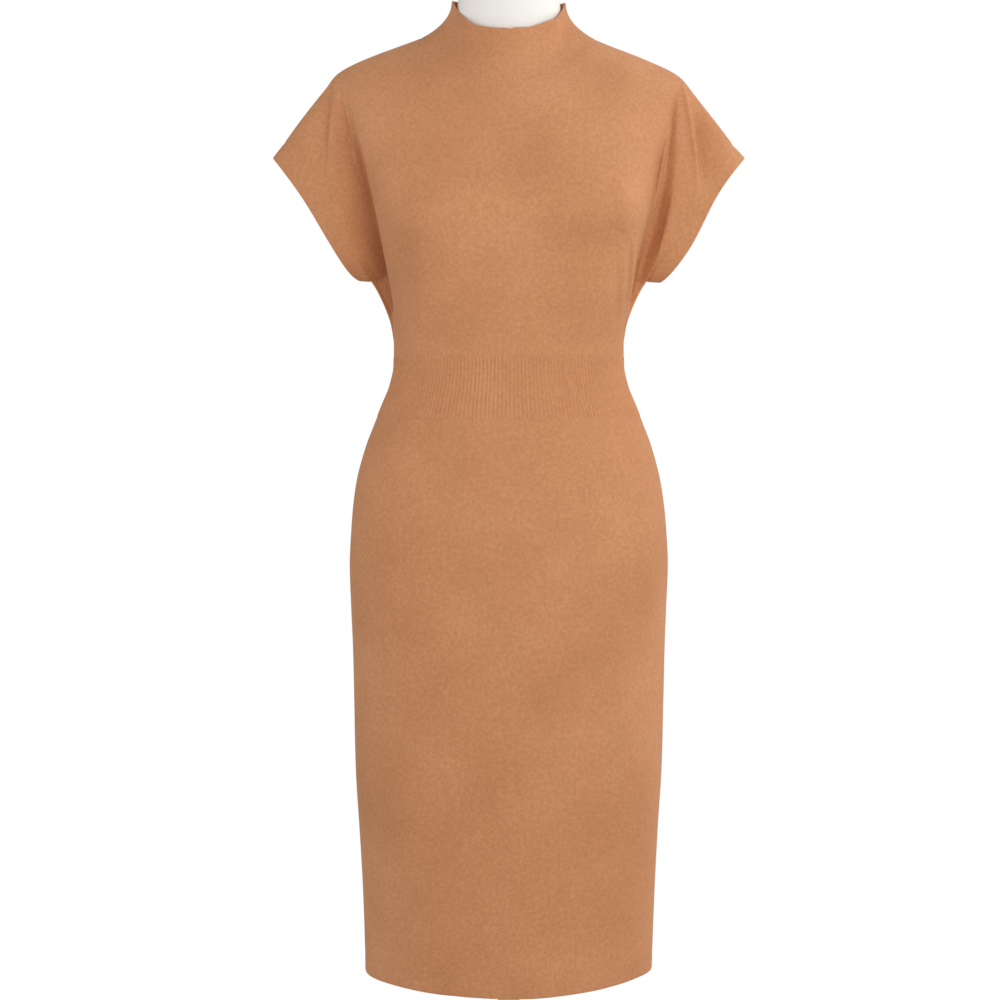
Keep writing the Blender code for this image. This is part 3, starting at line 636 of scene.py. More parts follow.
def form_ring(height, shrink):
    drop = FORM_SHOULDER_GAP + FORM_NECK_GAP * fade(height - NECK_GAP_START, NECK_GAP_REACH)
    slim = read(FORM_SIDE_EASE, EASE_COLUMNS, "slim", height)
    line = np.linspace(SHOULDER_LINE[-1][0], 0, LINE_POINTS)
    shoulder = np.interp(height + drop, read(SHOULDER_LINE, SHOULDER_COLUMNS, "height", line), line)
    neck_width = read(FORM_NECK, FORM_NECK_COLUMNS, "half_width", height)
    neck_depth = read(FORM_NECK, FORM_NECK_COLUMNS, "depth", height)
    half_width = max(min(shoulder, section("half_width", height) - slim), neck_width)
    angle = np.linspace(-np.pi, np.pi, FORM_COLUMNS + 1)
    across = half_width * np.sin(angle)
    neck = neck_depth * np.sqrt(np.clip(1 - (across / neck_width) ** 2, 0, 1)) * (height > FORM_NECK[0][0])
    ring = np.stack([across, across, np.full_like(across, height)], axis=1)
    for panel, facing in (("front", np.cos(angle) >= 0), ("back", np.cos(angle) < 0)):
        body = body_depth(panel, across, height, FORM_DEPTH_EASE, slim, drop)
        ring[facing, 1] = SIGN[panel] * soft_max(body, neck, FORM_NECK_BLEND)[facing]
    ring[:, :2] *= 1 - shrink / half_width
    return ring


print("form's waist across:", round(float(np.ptp(form_ring(WAISTBAND_TOP, 0.0)[:, 0])), 3))

# %% Make the form
# Each row has its height and how much the rounded edges at both ends draw it in.
quarter = np.linspace(0, np.pi / 2, 5)
by_sine, by_cosine = (FORM_EDGE_ROUND * (1 - wave(quarter)) for wave in (np.sin, np.cos))
low_edge = zip(FORM_BOTTOM + by_cosine, by_sine)
high_edge = zip(FORM_TOP - by_sine, by_cosine)
# The rows between them, from, to and how many, stand closer at the shoulders and the neck.
FORM_STRETCHES = ((0.710, 1.320, 50), (1.325, 1.468, 48))
levels = [(height, 0.0) for stretch in FORM_STRETCHES for height in np.linspace(*stretch)]
form_rows = [*low_edge, *levels, *high_edge]

bm, order, *_ = flat_grid(FORM_COLUMNS, len(form_rows) - 1)
move_points(bm, order, np.array([form_ring(*row) for row in form_rows]))
bmesh.ops.remove_doubles(bm, verts=bm.verts[:], dist=MERGE_DISTANCE)
for face in bm.faces:
    face.smooth = True
bmesh.ops.holes_fill(bm, edges=[edge for edge in bm.edges if edge.is_boundary], sides=0)
bmesh.ops.recalc_face_normals(bm, faces=bm.faces[:])
form_shell = new_object("form_shell", bm)
print("form:", len(form_shell.data.polygons), "faces")

# %% [markdown]
# ## The mock neck
#
# The collar is knitted as a tube and linked to the neckline stitch by stitch. It stands up
# and flares into the shoulders. A linked seam shows as a row of short upright stitches, so
# the lowest few millimetres of the tube carry them as low ridges. The open rim is a
# little wavy, because a knitted edge never stands dead straight.

# %% Sewn edges as rings
# A panel's edge is read at this many points.
EDGE_POINTS = 121


def seam_ring(points, back_points):
    """One closed ring from the front's and the back's sewn edge, the first point repeated."""
    first, last = ((points[k] + back_points[k]) / 2 for k in (0, -1))
    return np.array([first, *points[1:-1], last, *back_points[-2:0:-1], first])


def along_ring(ring, share):
    """Points on a closed ring by their share of the way round."""
    knots = np.linspace(0, 1, len(ring))
    return np.stack([np.interp(share, knots, ring[:, k]) for k in range(3)], axis=-1)


def leave_seam_gap(place):
    """Moves the sewn edge of a tube off its seam, along the cloth."""
    way = place[1] - place[0]
    place[0] += way / np.linalg.norm(way, axis=1, keepdims=True) * SEAM_GAP
    return place


def ripple(turn, rows, side=1.0):
    """Waves round a tube. Each has its height, how many go round, and its start."""
    return sum(height * np.sin(count * turn + start * side) for height, count, start in rows)


# The neckline of both panels, point by point, from the left shoulder round the front.
neck_u = np.linspace(-NECK_SHARE, NECK_SHARE, EDGE_POINTS)[None, :]
neck_ring = seam_ring(*(bodice_shapes[panel](neck_u, np.ones_like(neck_u))[0] for panel in SIGN))
neck_length = np.linalg.norm(np.diff(neck_ring, axis=0), axis=1).sum()
print("neckline:", round(float(neck_length), 3), "m round")

# %% The collar's sizes
# Angles are in degrees from the middle of the front, and above zero to the right.
COLLAR_COLUMNS, COLLAR_ROWS, COLLAR_EVEN = 840, 30, 0.4
RIM_HALF_WIDTH = 0.065
RIM_FRONT, RIM_BACK = 0.065, 0.059
RIM_SIDE_HEIGHT = 1.441
RIM_FRONT_DROP, RIM_BACK_RISE = 0.0397, 0.010
RIM_SETTLE, SETTLE_ANGLE, SETTLE_WIDTH = 0.0014, 90, 45
RIM_RIPPLE = ((0.0007, 3, 0.6), (0.0005, 7, 1.9), (0.0003, 12, 0.0))
NOTCH_DEPTH, NOTCH_ANGLE, NOTCH_WIDTH = 0.0012, 1.5, 3.5
COLLAR_FLARE = 2.2
# Where the cloth is slack it stands up straighter and turns to the shoulder more sharply.
SLACK_COLUMNS = ("angle", "width", "more")
COLLAR_SLACK = (
    (58, 17, 2.4),
    (-62, 16, 1.0),
)
# The linked stitches start just above the seam and show most in front.
LINKING_PITCH, LINKING_HEIGHT = 0.0048, 0.00022
LINKING_START, LINKING_REACH = 0.0006, 0.010
LINKING_FAINT, LINKING_WIDTH = 0.45, 35
COLLAR_FOLD_COLUMNS = ("angle", "width", "depth", "low", "high")
COLLAR_FOLDS = (
    (50, 9, -0.0030, 0.05, 0.95),
    (76, 12, 0.0014, 0.15, 1.05),
    (-68, 14, 0.0042, 0.35, 1.15),
    (-45, 12, -0.0012, 0.30, 1.10),
    (30, 14, 0.0012, 0.10, 1.00),
    (150, 16, 0.0012, 0.20, 1.00),
    (-140, 20, 0.0014, 0.20, 1.00),
)
COLLAR_DRAW = (LINKED_EDGE, FREE_EDGE)
print(len(COLLAR_FOLDS), "folds in the collar")

# %% Shape the collar


def flare_power(turned):
    power = COLLAR_FLARE
    for slack in named_rows(SLACK_COLUMNS, COLLAR_SLACK):
        power = power + slack["more"] * bell(turned - slack["angle"], slack["width"])
    return power


def collar_folds(turned, v):
    relief = 0.0
    for fold in named_rows(COLLAR_FOLD_COLUMNS, COLLAR_FOLDS):
        reach = smooth(fade(v - fold["low"], fold["high"] - fold["low"]))
        relief = relief - fold["depth"] * bell(turned - fold["angle"], fold["width"]) * reach
    return relief


def linked_stitches(angle, v):
    count = np.round(neck_length / LINKING_PITCH)
    climbed = v * (RIM_SIDE_HEIGHT - NECK_HEIGHT["front"])
    reach = np.sqrt(np.clip(1 - climbed / LINKING_REACH, 0, 1)) * (climbed > LINKING_START)
    shown = LINKING_FAINT + (1 - LINKING_FAINT) * bell(np.degrees(angle), LINKING_WIDTH)
    return LINKING_HEIGHT * np.cos(count * angle) * reach * shown


def collar(u, v):
    v = crowded(v, COLLAR_EVEN)
    angle = np.pi * u
    turned = np.degrees(angle)
    facing = np.cos(angle)
    base = along_ring(neck_ring, np.mod(u / 2 + 0.25, 1.0))
    settled = RIM_SETTLE * bell(turned - SETTLE_ANGLE, SETTLE_WIDTH)
    lower = settled + RIM_FRONT_DROP * np.clip(facing, 0, 1)
    higher = RIM_BACK_RISE * np.clip(-facing, 0, 1) ** 2
    rim = np.empty_like(base)
    rim[..., 0] = RIM_HALF_WIDTH * np.sin(angle)
    rim[..., 1] = np.where(facing > 0, -RIM_FRONT, -RIM_BACK) * facing
    rim[..., 2] = RIM_SIDE_HEIGHT - lower + higher
    place = rim + (base - rim) * ((1 - v) ** flare_power(turned))[..., None]
    place[..., 2] = base[..., 2] + (rim[..., 2] - base[..., 2]) * v
    notch = NOTCH_DEPTH * bell(turned - NOTCH_ANGLE, NOTCH_WIDTH)
    place[..., 2] += (ripple(angle, RIM_RIPPLE) - notch) * v**3
    out = np.stack([np.sin(angle), -facing, np.zeros_like(u)], axis=2)
    relief = collar_folds(turned, v) + linked_stitches(angle, v)
    return leave_seam_gap(place + out * relief[..., None])


collar_piece = cloth("knit_collar", COLLAR_COLUMNS, COLLAR_ROWS, collar, COLLAR_DRAW, tube=True)

# %% [markdown]
# ## The cuffs
#
# Each cuff is a narrow band, knitted on along the sleeve's edge. It draws the opening in a
# little, so it is slightly narrower at its free edge than where it is sewn.

# %% Shape the cuffs
SIDES = {"left": -1.0, "right": 1.0}
CUFF_COLUMNS, CUFF_ROWS = 240, 14
CUFF_HEEL_ACROSS = 0.1765
CUFF_HEEL_HEIGHT = {"left": 1.1245, "right": 1.1225}
CUFF_TIP_ACROSS, CUFF_TIP_HEIGHT = 0.2685, 1.2640
CUFF_HALF_DEPTH = 0.037
# How far the rim bows towards the body, in its middle and more near the tip than the heel.
CUFF_BOWS = {"left": (0.0038, 0.0015), "right": (0.0015, 0.0040)}
# The heel is rounded off by this much, over this share of the rim's rise.
HEEL_ROUND = {"left": 0.0050, "right": 0.0030}
HEEL_REACH = 0.035
CUFF_RIPPLE = ((0.0006, 5, 1), (0.0004, 9, 2))
CUFF_DRAW = (CUFF_EDGE, FREE_EDGE)


def cuff(name):
    side, heel = SIDES[name], CUFF_HEEL_HEIGHT[name]
    even_bow, tip_bow = CUFF_BOWS[name]
    edge_v = np.linspace(LOWER_SHARE, 1, EDGE_POINTS)[:, None]
    edge_u = np.full_like(edge_v, side)
    edges = []
    for panel in SIGN:
        # The panel is shaped in three columns, and the last one is the sleeve's end.
        whole_u = np.concatenate([-edge_u, 0 * edge_u, edge_u], axis=1)
        edges.append(bodice_shapes[panel](whole_u, np.repeat(edge_v, 3, axis=1))[:, 2])
    ring = seam_ring(*edges)

    def shape(u, v):
        v = crowded(v)
        share = u / 2 + 0.5
        base = along_ring(ring, share)
        turn = 2 * np.pi * share
        up = (1 - np.cos(turn)) / 2
        rim = np.empty_like(base)
        bow = even_bow * np.sin(np.pi * up) - tip_bow * np.sin(2 * np.pi * up)
        bow = bow + HEEL_ROUND[name] * np.exp(-up / HEEL_REACH)
        rim[..., 0] = side * (CUFF_HEEL_ACROSS + (CUFF_TIP_ACROSS - CUFF_HEEL_ACROSS) * up - bow)
        rim[..., 1] = -CUFF_HALF_DEPTH * np.sin(turn)
        rim[..., 2] = heel + (CUFF_TIP_HEIGHT - heel) * up
        place = base + (rim - base) * v[..., None]
        place[..., 1] += ripple(turn, CUFF_RIPPLE, side) * np.sin(turn) * v
        return leave_seam_gap(place)

    return cloth(f"knit_cuff_{name}", CUFF_COLUMNS, CUFF_ROWS, shape, CUFF_DRAW, tube=True)


cuffs = {name: cuff(name) for name in SIDES}

# %% [markdown]
# ## The waistband
#
# Rib knit is made of columns of plain and purl stitches in turn. The plain ones stand
# forward as rounded ribs, and the fabric draws in between them. They are real relief, so
# the ribs are in the mesh: 88 across the front and 86 across the back, and they fan out
# where the band widens to the hips.

# %% Points on a panel between two heights
SECTION_POINTS = 801


def section_points(panel, height, share):
    """Points on the front or back half of a section, evenly spaced along it."""
    angle = np.linspace(-np.pi / 2, np.pi / 2, SECTION_POINTS)
    power = 2 / section("squareness", height)
    across = section("half_width", height) * np.sign(angle) * np.abs(np.sin(angle)) ** power
    depth = section(panel, height) * np.abs(np.cos(angle)) ** power
    gone = np.concatenate([[0], np.cumsum(np.hypot(np.diff(across), np.diff(depth)))])
    at = share * gone[-1]
    across = np.interp(at, gone, across)
    depth = np.maximum(np.interp(at, gone, depth), HALF_GAP)
    return np.stack([across, SIGN[panel] * depth, np.full(at.shape, height)], axis=1)


def panel_rows(panel, u, bottom, top, v):
    heights = bottom + (top - bottom) * crowded(v[:, 0])
    return np.array([section_points(panel, height, u[0] / 2 + 0.5) for height in heights])


def outward(place, panel):
    """The level direction away from the body at each point."""
    across = np.gradient(place, axis=1)
    normal = np.cross(across, np.gradient(place, axis=0)) * -SIGN[panel]
    normal[..., 2] = 0
    return normal / np.linalg.norm(normal, axis=2, keepdims=True)


waist_points = section_points("front", WAISTBAND_TOP, np.linspace(0, 1, 5))
print("depths of the waist's front:", [round(float(point[1]), 3) for point in waist_points])

# %% Shape the waistband
RIBS = {"front": 88, "back": 86}
RIB_HEIGHT, RIB_WALL = 0.0008, 0.0016
# The ribs flatten over this share of their length at both ends.
RIB_FADE = 0.03
COLUMNS_PER_RIB, WAISTBAND_ROWS = 8, 20
BAND_DRAW = (JOINED_EDGE, JOINED_EDGE, LINKED_EDGE, LINKED_EDGE)


def waistband(panel):
    def shape(u, v):
        place = panel_rows(panel, u, WAISTBAND_BOTTOM, WAISTBAND_TOP, v)
        v = crowded(v)
        rib = (1 - np.cos(2 * np.pi * RIBS[panel] * (u / 2 + 0.5))) / 2
        ends = fade(np.minimum(v, 1 - v), RIB_FADE)
        return place + outward(place, panel) * (RIB_HEIGHT * (rib - 0.5) * ends)[..., None]

    columns = COLUMNS_PER_RIB * RIBS[panel]
    return cloth(f"rib_waistband_{panel}", columns, WAISTBAND_ROWS, shape, BAND_DRAW, wall=RIB_WALL)


bands = {panel: waistband(panel) for panel in SIGN}

# %% [markdown]
# ## The skirt
#
# The skirt is two panels that narrow to the hem. In front, two short darts under the
# waistband take in the difference between waist and hips: each is a fine line that fades
# into the cloth. Long, very soft hollows run down from the hips, where the tube hangs free
# of the form.

# %% Shape the skirt
SKIRT_FOLDS = {
    "front": (
        (-0.116, 0.969, -0.119, 0.95, -0.1215, 0.928, 0.0026, 0.0009, 0.0, 0.5),
        (0.115, 0.969, 0.119, 0.95, 0.123, 0.93, 0.0026, 0.0009, 0.0, 0.5),
        (-0.118, 0.94, -0.13, 0.9, -0.138, 0.85, 0.014, -0.001, 0.0, 0.5),
        (0.12, 0.94, 0.129, 0.905, 0.135, 0.86, 0.014, -0.001, 0.0, 0.5),
        (0.084, 0.71, 0.091, 0.62, 0.087, 0.53, 0.03, 0.0034, 0.0, 0.5),
        (-0.159, 0.74, -0.157, 0.675, -0.155, 0.61, 0.02, 0.004, 0.0, 0.5),
        (-0.14, 0.49, -0.13, 0.42, -0.125, 0.35, 0.034, 0.004, 0.0, 0.6),
        (-0.144, 0.6, -0.14, 0.535, -0.137, 0.475, 0.022, -0.0028, 0.0, 0.5),
        (-0.15, 0.955, -0.157, 0.89, -0.159, 0.82, 0.022, -0.0028, 0.0, 0.5),
        (0.14, 0.96, 0.15, 0.87, 0.155, 0.75, 0.018, -0.0034, 0.0, 0.5),
        (-0.056, 0.64, -0.06, 0.5, -0.054, 0.345, 0.03, 0.0014, 0.0, 0.5),
    ),
    "back": (
        (-0.118, 0.78, -0.114, 0.6, -0.108, 0.38, 0.028, 0.0024, 0.0, 0.5),
        (0.112, 0.76, 0.118, 0.58, 0.106, 0.36, 0.026, 0.0026, 0.0, 0.5),
        (0.012, 0.96, 0.008, 0.915, -0.004, 0.87, 0.016, 0.0016, 0.0, 0.5),
        (-0.01, 0.66, 0.004, 0.52, 0.002, 0.35, 0.034, 0.0022, 0.0, 0.5),
    ),
}
# Shares of a panel over which its folds fade out. Beside the waistband the darts stay in part.
SKIRT_SIDE_FADE, SKIRT_HEM_FADE, SKIRT_TOP_FADE = 0.10, 0.03, 0.02
DARTS_BOTTOM, DARTS_LEFT = 0.925, 0.4
SKIRT_COLUMNS, SKIRT_ROWS = 200, 120
SKIRT_DRAW = (LINKED_EDGE, JOINED_EDGE, LINKED_EDGE, LINKED_EDGE)


def skirt(panel):
    def shape(u, v):
        place = panel_rows(panel, u, HEM_TOP + SEAM_GAP, WAISTBAND_BOTTOM - SEAM_GAP, v)
        across, height = place[..., 0], place[..., 2]
        relief = fold_relief(SKIRT_FOLDS[panel], across, height)
        relief = relief + SKIRT_WAVES * waves(across, height, 1 + SIGN[panel])
        free = fade(1 - np.abs(u), SKIRT_SIDE_FADE) * fade(v, SKIRT_HEM_FADE)
        at_top = np.maximum(fade(1 - v, SKIRT_TOP_FADE), DARTS_LEFT)
        free = free * np.where(height > DARTS_BOTTOM, at_top, 1.0)
        return place - outward(place, panel) * (relief * free)[..., None]

    return cloth(f"knit_skirt_{panel}", SKIRT_COLUMNS, SKIRT_ROWS, shape, SKIRT_DRAW)


skirts = {panel: skirt(panel) for panel in SIGN}

# %% [markdown]
# ## The hem band
#
# A narrow band finishes the hem. It is a tube with its joint in the middle of the front,
# a short upright line. Its free edge waves by less than a millimetre, hangs 2 mm lower in
# the middle, and is drawn up by up to 5 mm towards the right side.

# %% Shape the hem band
HEM_COLUMNS, HEM_ROWS = 480, 14
HEM_RIPPLE = ((0.0005, 6, 1), (0.0003, 11, 0))
HEM_WAVE = ((0.0004, 5, 0), (0.0003, 9, 2))
JOINT_DEPTH, JOINT_ACROSS, JOINT_WIDTH = 0.0006, 0.0005, 0.0018
# The free edge droops in the middle of the front and is hitched up towards both sides.
DROOP, DROOP_WIDTH = 0.0020, 0.09
HITCH_COLUMNS = ("side", "rise", "reach")
HITCHES = (
    (1, 0.0046, 0.115),
    (-1, 0.0016, 0.060),
)
HEM_DRAW = (FREE_EDGE, LINKED_EDGE)


def hem(u, v):
    v = crowded(v)
    share = u / 2 + 0.5
    halves = 2 * share - (share >= 0.5)
    place = np.empty((*u.shape, 3))
    for k, height in enumerate(HEM_BOTTOM + (HEM_TOP - HEM_BOTTOM) * v[:, 0]):
        front = section_points("front", height, halves[k])
        back = section_points("back", height, 1 - halves[k])
        place[k] = np.where((share[k] < 0.5)[:, None], front, back)
    # Both ends of the grid meet in the plane of the side seams.
    place[:, [0, -1]] = (place[:, [0, -1]] * (1, 0, 1)).mean(axis=1, keepdims=True)
    out = place * (1, 1, 0)
    out /= np.linalg.norm(out, axis=2, keepdims=True)
    in_front = place[..., 1] < 0
    turn = 2 * np.pi * share
    joint = JOINT_DEPTH * bell(place[..., 0] - JOINT_ACROSS, JOINT_WIDTH) * in_front
    place = place + out * (ripple(turn, HEM_RIPPLE) * (1 - v) - joint)[..., None]
    lift = ripple(turn, HEM_WAVE) - DROOP * bell(place[..., 0], DROOP_WIDTH) * in_front
    for hitch in named_rows(HITCH_COLUMNS, HITCHES):
        lift = lift + hitch["rise"] * fade(hitch["side"] * place[..., 0], hitch["reach"]) ** 2
    place[..., 2] += lift * (1 - v)
    return place


hem_piece = cloth("knit_hem_band", HEM_COLUMNS, HEM_ROWS, hem, HEM_DRAW, wall=BAND_WALL, tube=True)

# %% [markdown]
# ## Materials
#
# The yarn is a camel-coloured blend of wool and viscose, spun from fibres of slightly
# different dye, so the knit is a little mottled. Jersey is rows of V-shaped stitches, here
# about 1.6 mm wide and 1.2 mm high. It is matt, with the faint bloom of fibre ends at
# grazing angles, which sheen gives. Colours are picked as hex values, as a dyer's card
# would give them, and one function turns them to the linear values that shaders use.

# %% Colours and nodes


def linear(code):
    """The standard curve from a hex colour to linear light."""
    channels = [int(code[k : k + 2], 16) / 255 for k in (1, 3, 5)]
    return (*(c / 12.92 if c <= 0.04045 else ((c + 0.055) / 1.055) ** 2.4 for c in channels), 1.0)


def add(material, kind, inputs=None, links=None, **settings):
    node = material.node_tree.nodes.new("ShaderNode" + kind)
    for name, value in settings.items():
        setattr(node, name, value)
    for socket, value in (inputs or {}).items():
        node.inputs[socket].default_value = value
    for socket, source in (links or {}).items():
        material.node_tree.links.new(source, node.inputs[socket])
    return node


def new_material(name, roughness, **constants):
    """A material with its Principled shader. In the names of sockets, _ stands for a space."""
    material = bpy.data.materials.new(name)
    material.use_nodes = True
    shader = material.node_tree.nodes["Principled BSDF"]
    shader.inputs["Roughness"].default_value = roughness
    for socket, value in constants.items():
        shader.inputs[socket.replace("_", " ")].default_value = value
    return material, shader


def shade(ramp, stops):
    """Sets a colour ramp's stops from (place, hex colour) pairs."""
    while len(ramp.elements) < len(stops):
        ramp.elements.new(0.5)
    for element, (place, code) in zip(ramp.elements, stops):
        element.position = place
        element.color = linear(code)


print("camel in linear light:", [round(channel, 3) for channel in linear("#CA8C61")])

# %% [markdown]
# A jersey stitch is a V: its two legs lean out from the middle of its column. So the height
# of the yarn is a wave up the cloth whose start is shifted by the distance from the
# column's middle, and it falls off between two columns. The stitches are too fine to show
# in a render, so they are drawn once and a half as coarse, at 2.4 by 1.8 mm.

# %% The stitches' relief
STITCH_WIDTH, STITCH_HEIGHT = 0.0024, 0.0018
# How far a leg climbs across a whole column, in stitches, and its mean height and swing.
LEG_CLIMB, LEG_HEIGHT, LEG_SWING = 1.3, 0.5, 0.35
# How deep the valley between two columns is, and how sharply it falls.
VALLEY_DEPTH, VALLEY_POWER = 3.6, 2.6


def stitches(material, coords):
    size = {"Scale": (1 / STITCH_WIDTH, 1 / STITCH_HEIGHT, 1)}
    scaled = add(material, "Mapping", size, {"Vector": coords})
    parts = add(material, "SeparateXYZ", links={"Vector": scaled.outputs[0]})
    column = add(material, "Math", links={0: parts.outputs["X"]}, operation="FRACT")
    middle = add(material, "Math", {1: 0.5}, {0: column.outputs[0]}, operation="SUBTRACT")
    away = add(material, "Math", links={0: middle.outputs[0]}, operation="ABSOLUTE").outputs[0]
    legs = {0: away, 2: parts.outputs["Y"]}
    climb = add(material, "Math", {1: -LEG_CLIMB}, legs, operation="MULTIPLY_ADD")
    turn = add(material, "Math", {1: 2 * np.pi}, {0: climb.outputs[0]}, operation="MULTIPLY")
    wave = add(material, "Math", links={0: turn.outputs[0]}, operation="SINE").outputs[0]
    swing = {1: LEG_SWING, 2: LEG_HEIGHT}
    leg = add(material, "Math", swing, {0: wave}, operation="MULTIPLY_ADD")
    fall = add(material, "Math", {1: VALLEY_POWER}, {0: away}, operation="POWER")
    ends = {0: fall.outputs[0], 2: leg.outputs[0]}
    height = add(material, "Math", {1: -VALLEY_DEPTH}, ends, operation="MULTIPLY_ADD")
    return height.outputs[0]


print("a stitch is drawn", 1000 * STITCH_WIDTH, "x", 1000 * STITCH_HEIGHT, "mm")

# %% The jersey and the rib knit
# In metres: the yarn's colour changes every 3.8 mm, its dye lies in clouds of about 110 mm,
# and fibre ends stand up about 1.1 mm apart.
FLECK_SIZE, CLOUD_SIZE, FUZZ_SIZE = 0.0038, 1 / 9, 1 / 900
FLECK_SHARE, CLOUD_SHARE = 0.55, 0.45
STITCH_RELIEF = 0.0004


def knit_material(name, stops, bump):
    material, shader = new_material(name, 0.86, Sheen_Weight=0.13, Sheen_Roughness=0.45)
    shader.inputs["Sheen Tint"].default_value = linear("#FFE0C4")
    shader.inputs["Specular IOR Level"].default_value = 0.25
    coords = add(material, "UVMap", uv_map="knit").outputs[0]
    place = {"Vector": add(material, "TexCoord").outputs["Object"]}
    fleck_look = {"Scale": 1 / FLECK_SIZE, "Detail": 3.0, "Roughness": 0.6}
    fleck = add(material, "TexNoise", fleck_look, place).outputs["Fac"]
    cloud_look = {"Scale": 1 / CLOUD_SIZE, "Detail": 2.0, "Roughness": 0.5}
    cloud = add(material, "TexNoise", cloud_look, place).outputs["Fac"]
    part = add(material, "Math", {1: CLOUD_SHARE}, {0: cloud}, operation="MULTIPLY").outputs[0]
    both = {0: fleck, 2: part}
    mixed = add(material, "Math", {1: FLECK_SHARE}, both, operation="MULTIPLY_ADD")
    ramp = add(material, "ValToRGB", links={"Fac": mixed.outputs[0]})
    shade(ramp.color_ramp, stops)
    height = stitches(material, coords)
    # Painted shade: the colour is darkened a little in the valleys between the stitches, where shade
    # falls.
    painted_shade_range = {"From Min": 0.0, "From Max": 0.8, "To Min": 0.975, "To Max": 1.008}
    painted_shade = add(material, "MapRange", painted_shade_range, {"Value": height})
    colour_and_painted_shade = {0: ramp.outputs["Color"], "Scale": painted_shade.outputs[0]}
    colour = add(material, "VectorMath", links=colour_and_painted_shade, operation="SCALE")
    material.node_tree.links.new(colour.outputs["Vector"], shader.inputs["Base Color"])
    fuzz = add(material, "TexNoise", {"Scale": 1 / FUZZ_SIZE, "Detail": 2.0}, place)
    fuzzy = {0: fuzz.outputs["Fac"], 2: height}
    rough = add(material, "Math", {1: 0.5}, fuzzy, operation="MULTIPLY_ADD")
    strength = {"Strength": bump, "Distance": STITCH_RELIEF}
    relief = add(material, "Bump", strength, {"Height": rough.outputs[0]})
    material.node_tree.links.new(relief.outputs["Normal"], shader.inputs["Normal"])
    return material


CAMEL_STOPS = ((0.30, "#BC7F56"), (0.50, "#CA8C61"), (0.70, "#D79A6F"))
camel_jersey = knit_material("camel_wool_viscose_jersey", CAMEL_STOPS, 0.22)
camel_rib = knit_material("camel_wool_viscose_rib", CAMEL_STOPS, 0.18)
print("nodes in the jersey:", len(camel_jersey.node_tree.nodes))

# %% [markdown]
# The form is a moulded shell with a smooth satin coat, a warm white that is hardly mottled.
# The stand is steel under a white powder coat, whose skin is finely pebbled like orange
# peel, about 2 mm from bump to bump.

# %% The form's coat and the stand's powder coat
# A coat is mottled in clouds of about 170 mm, and its relief and its gloss vary this much.
COAT_CLOUD_SIZE = 1 / 6
COAT_RELIEF, COAT_GLOSS = 0.0002, 0.05
# The size of the form's shallow dimples and of the powder coat's bumps, in metres.
DIMPLE_SIZE, PEEL_SIZE = 0.004, 0.002


def coat_material(name, stops, roughness, grain, bump):
    material, shader = new_material(name, roughness)
    place = {"Vector": add(material, "TexCoord").outputs["Object"]}
    cloud = add(material, "TexNoise", {"Scale": 1 / COAT_CLOUD_SIZE, "Detail": 3.0}, place)
    ramp = add(material, "ValToRGB", links={"Fac": cloud.outputs["Fac"]})
    shade(ramp.color_ramp, stops)
    material.node_tree.links.new(ramp.outputs["Color"], shader.inputs["Base Color"])
    fine = add(material, "TexNoise", {"Scale": 1 / grain, "Detail": 2.0}, place).outputs["Fac"]
    strength = {"Strength": bump, "Distance": COAT_RELIEF}
    relief = add(material, "Bump", strength, {"Height": fine})
    material.node_tree.links.new(relief.outputs["Normal"], shader.inputs["Normal"])
    gloss = {"To Min": roughness - COAT_GLOSS, "To Max": roughness + COAT_GLOSS}
    spread = add(material, "MapRange", {"From Min": 0.3, "From Max": 0.7, **gloss}, {"Value": fine})
    material.node_tree.links.new(spread.outputs[0], shader.inputs["Roughness"])
    return material


FORM_STOPS = ((0.3, "#F1EDE6"), (0.7, "#F6F3ED"))
STAND_STOPS = ((0.3, "#E4E2DE"), (0.7, "#EAE8E4"))
form_coat = coat_material("satin_white_form_coat", FORM_STOPS, 0.48, DIMPLE_SIZE, 0.15)
stand_coat = coat_material("white_powder_coat", STAND_STOPS, 0.42, PEEL_SIZE, 0.35)
print("coats:", form_coat.name, "and", stand_coat.name)

# %% [markdown]
# ## Dress the frame
#
# Each piece of cloth takes the place of its solid, which is hidden, and rides with the root.
# Its slot picks its material. The table also gives how it was cut and how it is held: bodice
# and collar are draped over the form, skirt and bands hang, and the waistband is stretched
# round the waist.

# %% Each piece takes its solid's place
CUT_COLUMNS = ("piece", "node", "slot", "width", "length", "area", "held")
CUTS = (
    (bodices["front"], "bodice_front", "knit", 0.600, 0.410, 0.174, "draped"),
    (bodices["back"], "bodice_back", "knit", 0.566, 0.417, 0.178, "draped"),
    (collar_piece, "collar", "knit", 0.570, 0.064, 0.0262, "draped"),
    (cuffs["left"], "cuff_left", "knit", 0.435, 0.021, 0.0073, "hung"),
    (cuffs["right"], "cuff_right", "knit", 0.435, 0.021, 0.0075, "hung"),
    (bands["front"], "waistband_front", "rib_knit", 0.360, 0.068, None, "stretched"),
    (bands["back"], "waistband_back", "rib_knit", 0.350, 0.068, None, "stretched"),
    (skirts["front"], "skirt_front", "knit", 0.488, 0.618, 0.290, "hung"),
    (skirts["back"], "skirt_back", "knit", 0.511, 0.620, 0.297, "hung"),
    (hem_piece, "hem_band", "knit", 0.900, 0.0235, 0.0192, "hung"),
)
for cut in named_rows(CUT_COLUMNS, CUTS):
    piece = cut["piece"]
    piece.data.materials.append(camel_rib if cut["slot"] == "rib_knit" else camel_jersey)
    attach(piece, "root")
    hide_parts(cut["node"])

form_shell.data.materials.append(form_coat)
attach(form_shell, "root")
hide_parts("form_torso")
for name in ("stand_pole", "stand_base"):
    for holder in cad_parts[name].material_slots:
        holder.material = stand_coat
print("dressed with", len(CUTS), "pieces of cloth")

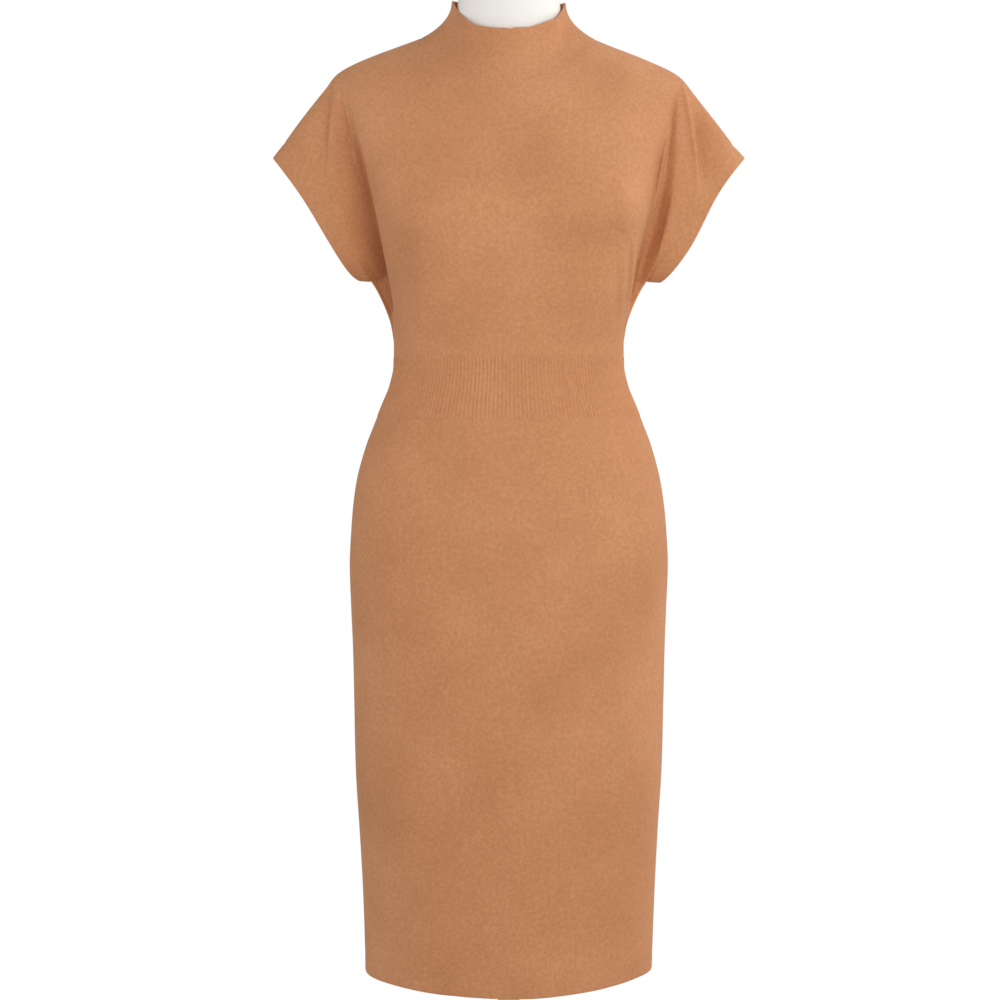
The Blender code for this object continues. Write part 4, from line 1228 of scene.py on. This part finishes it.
# %% [markdown]
# ## Studio
#
# A pale floor and six soft lights in a bright, even surround. The key stands close in front,
# a little to the right, and a high one beside it picks out what faces right. A weaker fill
# and a rim light come from the left, another rim light from behind on the right, and one
# from above lifts the shoulders. Close lights fall off towards the hem. So folds read, but
# no shadow is hard.

# %% Floor and lights
FLOOR_RADIUS, FLOOR_SIDES = 0.85, 96
LIGHT_COLUMNS = ("name", "place", "aim", "size", "power")
LIGHTS = (
    ("key", (0.6, -1.4, 1.25), (0.0, 0.0, 1.15), 0.9, 7.8),
    ("high", (1.6, -0.9, 1.7), (0.0, 0.0, 1.2), 0.9, 6.4),
    ("right_rim", (2.4, 0.8, 1.2), (0.0, 0.0, 1.0), 1.2, 12.5),
    ("fill", (-1.1, -1.2, 1.4), (0.0, 0.0, 1.1), 0.9, 4.6),
    ("left_rim", (-2.8, 0.3, 1.6), (0.0, 0.0, 1.0), 1.6, 9.9),
    ("top", (1.6, 0.6, 3.3), (0.0, 0.0, 1.0), 1.2, 17.0),
)


def stand_at(name, data, place, aim):
    """Puts a lamp or a camera in its place and turns it to what it aims at."""
    thing = bpy.data.objects.new(name, data)
    thing.location = place
    way = Vector(aim) - thing.location
    thing.rotation_euler = way.to_track_quat("-Z", "Y").to_euler()
    bpy.context.scene.collection.objects.link(thing)
    return thing


bm = bmesh.new()
bmesh.ops.create_circle(bm, cap_ends=True, segments=FLOOR_SIDES, radius=FLOOR_RADIUS)
floor = new_object("floor", bm)
floor_paint, floor_shader = new_material("matt_floor_paint", 0.8)
floor_shader.inputs["Base Color"].default_value = linear("#E8E1D8")
floor.data.materials.append(floor_paint)

for light in named_rows(LIGHT_COLUMNS, LIGHTS):
    lamp = bpy.data.lights.new(light["name"], "AREA")
    lamp.shape = "DISK"
    lamp.size = light["size"]
    lamp.energy = light["power"]
    stand_at(light["name"], lamp, light["place"], light["aim"])
print(len(LIGHTS), "lights")

# %% The surround
SURROUND_LIGHT = 0.45
world = bpy.data.worlds.new("studio")
world.use_nodes = True
sky = world.node_tree.nodes["Background"]
sky.inputs["Color"].default_value = (1.0, 1.0, 1.0, 1.0)
# The eye sees a white backdrop, and the dress gets only a part of its light from it.
tree = world.node_tree
seen = tree.nodes.new("ShaderNodeLightPath")
strength = tree.nodes.new("ShaderNodeMapRange")
strength.inputs["To Min"].default_value = SURROUND_LIGHT
strength.inputs["To Max"].default_value = 1.0
tree.links.new(seen.outputs["Is Camera Ray"], strength.inputs["Value"])
tree.links.new(strength.outputs["Result"], sky.inputs["Strength"])
bpy.context.scene.world = world
bpy.context.scene.view_settings.view_transform = "Standard"
print("surround gives", SURROUND_LIGHT, "of its full light")

# %% [markdown]
# ## Camera
#
# The camera stands 2.6 m in front, at the height of the waist, and looks slightly down
# through a long lens, as for a catalogue.

# %% Camera
# The lens and the sensor are in millimetres. The shift is a share of the sensor's width.
LENS, SENSOR, LENS_SHIFT = 81.85, 36.0, -0.03
CAMERA_PLACE, CAMERA_AIM = (-0.0100, -2.6, 1.0362), (-0.0100, 0.0, 0.9089)

lens = bpy.data.cameras.new("camera")
lens.lens = LENS
lens.sensor_width = SENSOR
lens.shift_y = LENS_SHIFT
bpy.context.scene.camera = stand_at("camera", lens, CAMERA_PLACE, CAMERA_AIM)
print("camera at", CAMERA_PLACE)
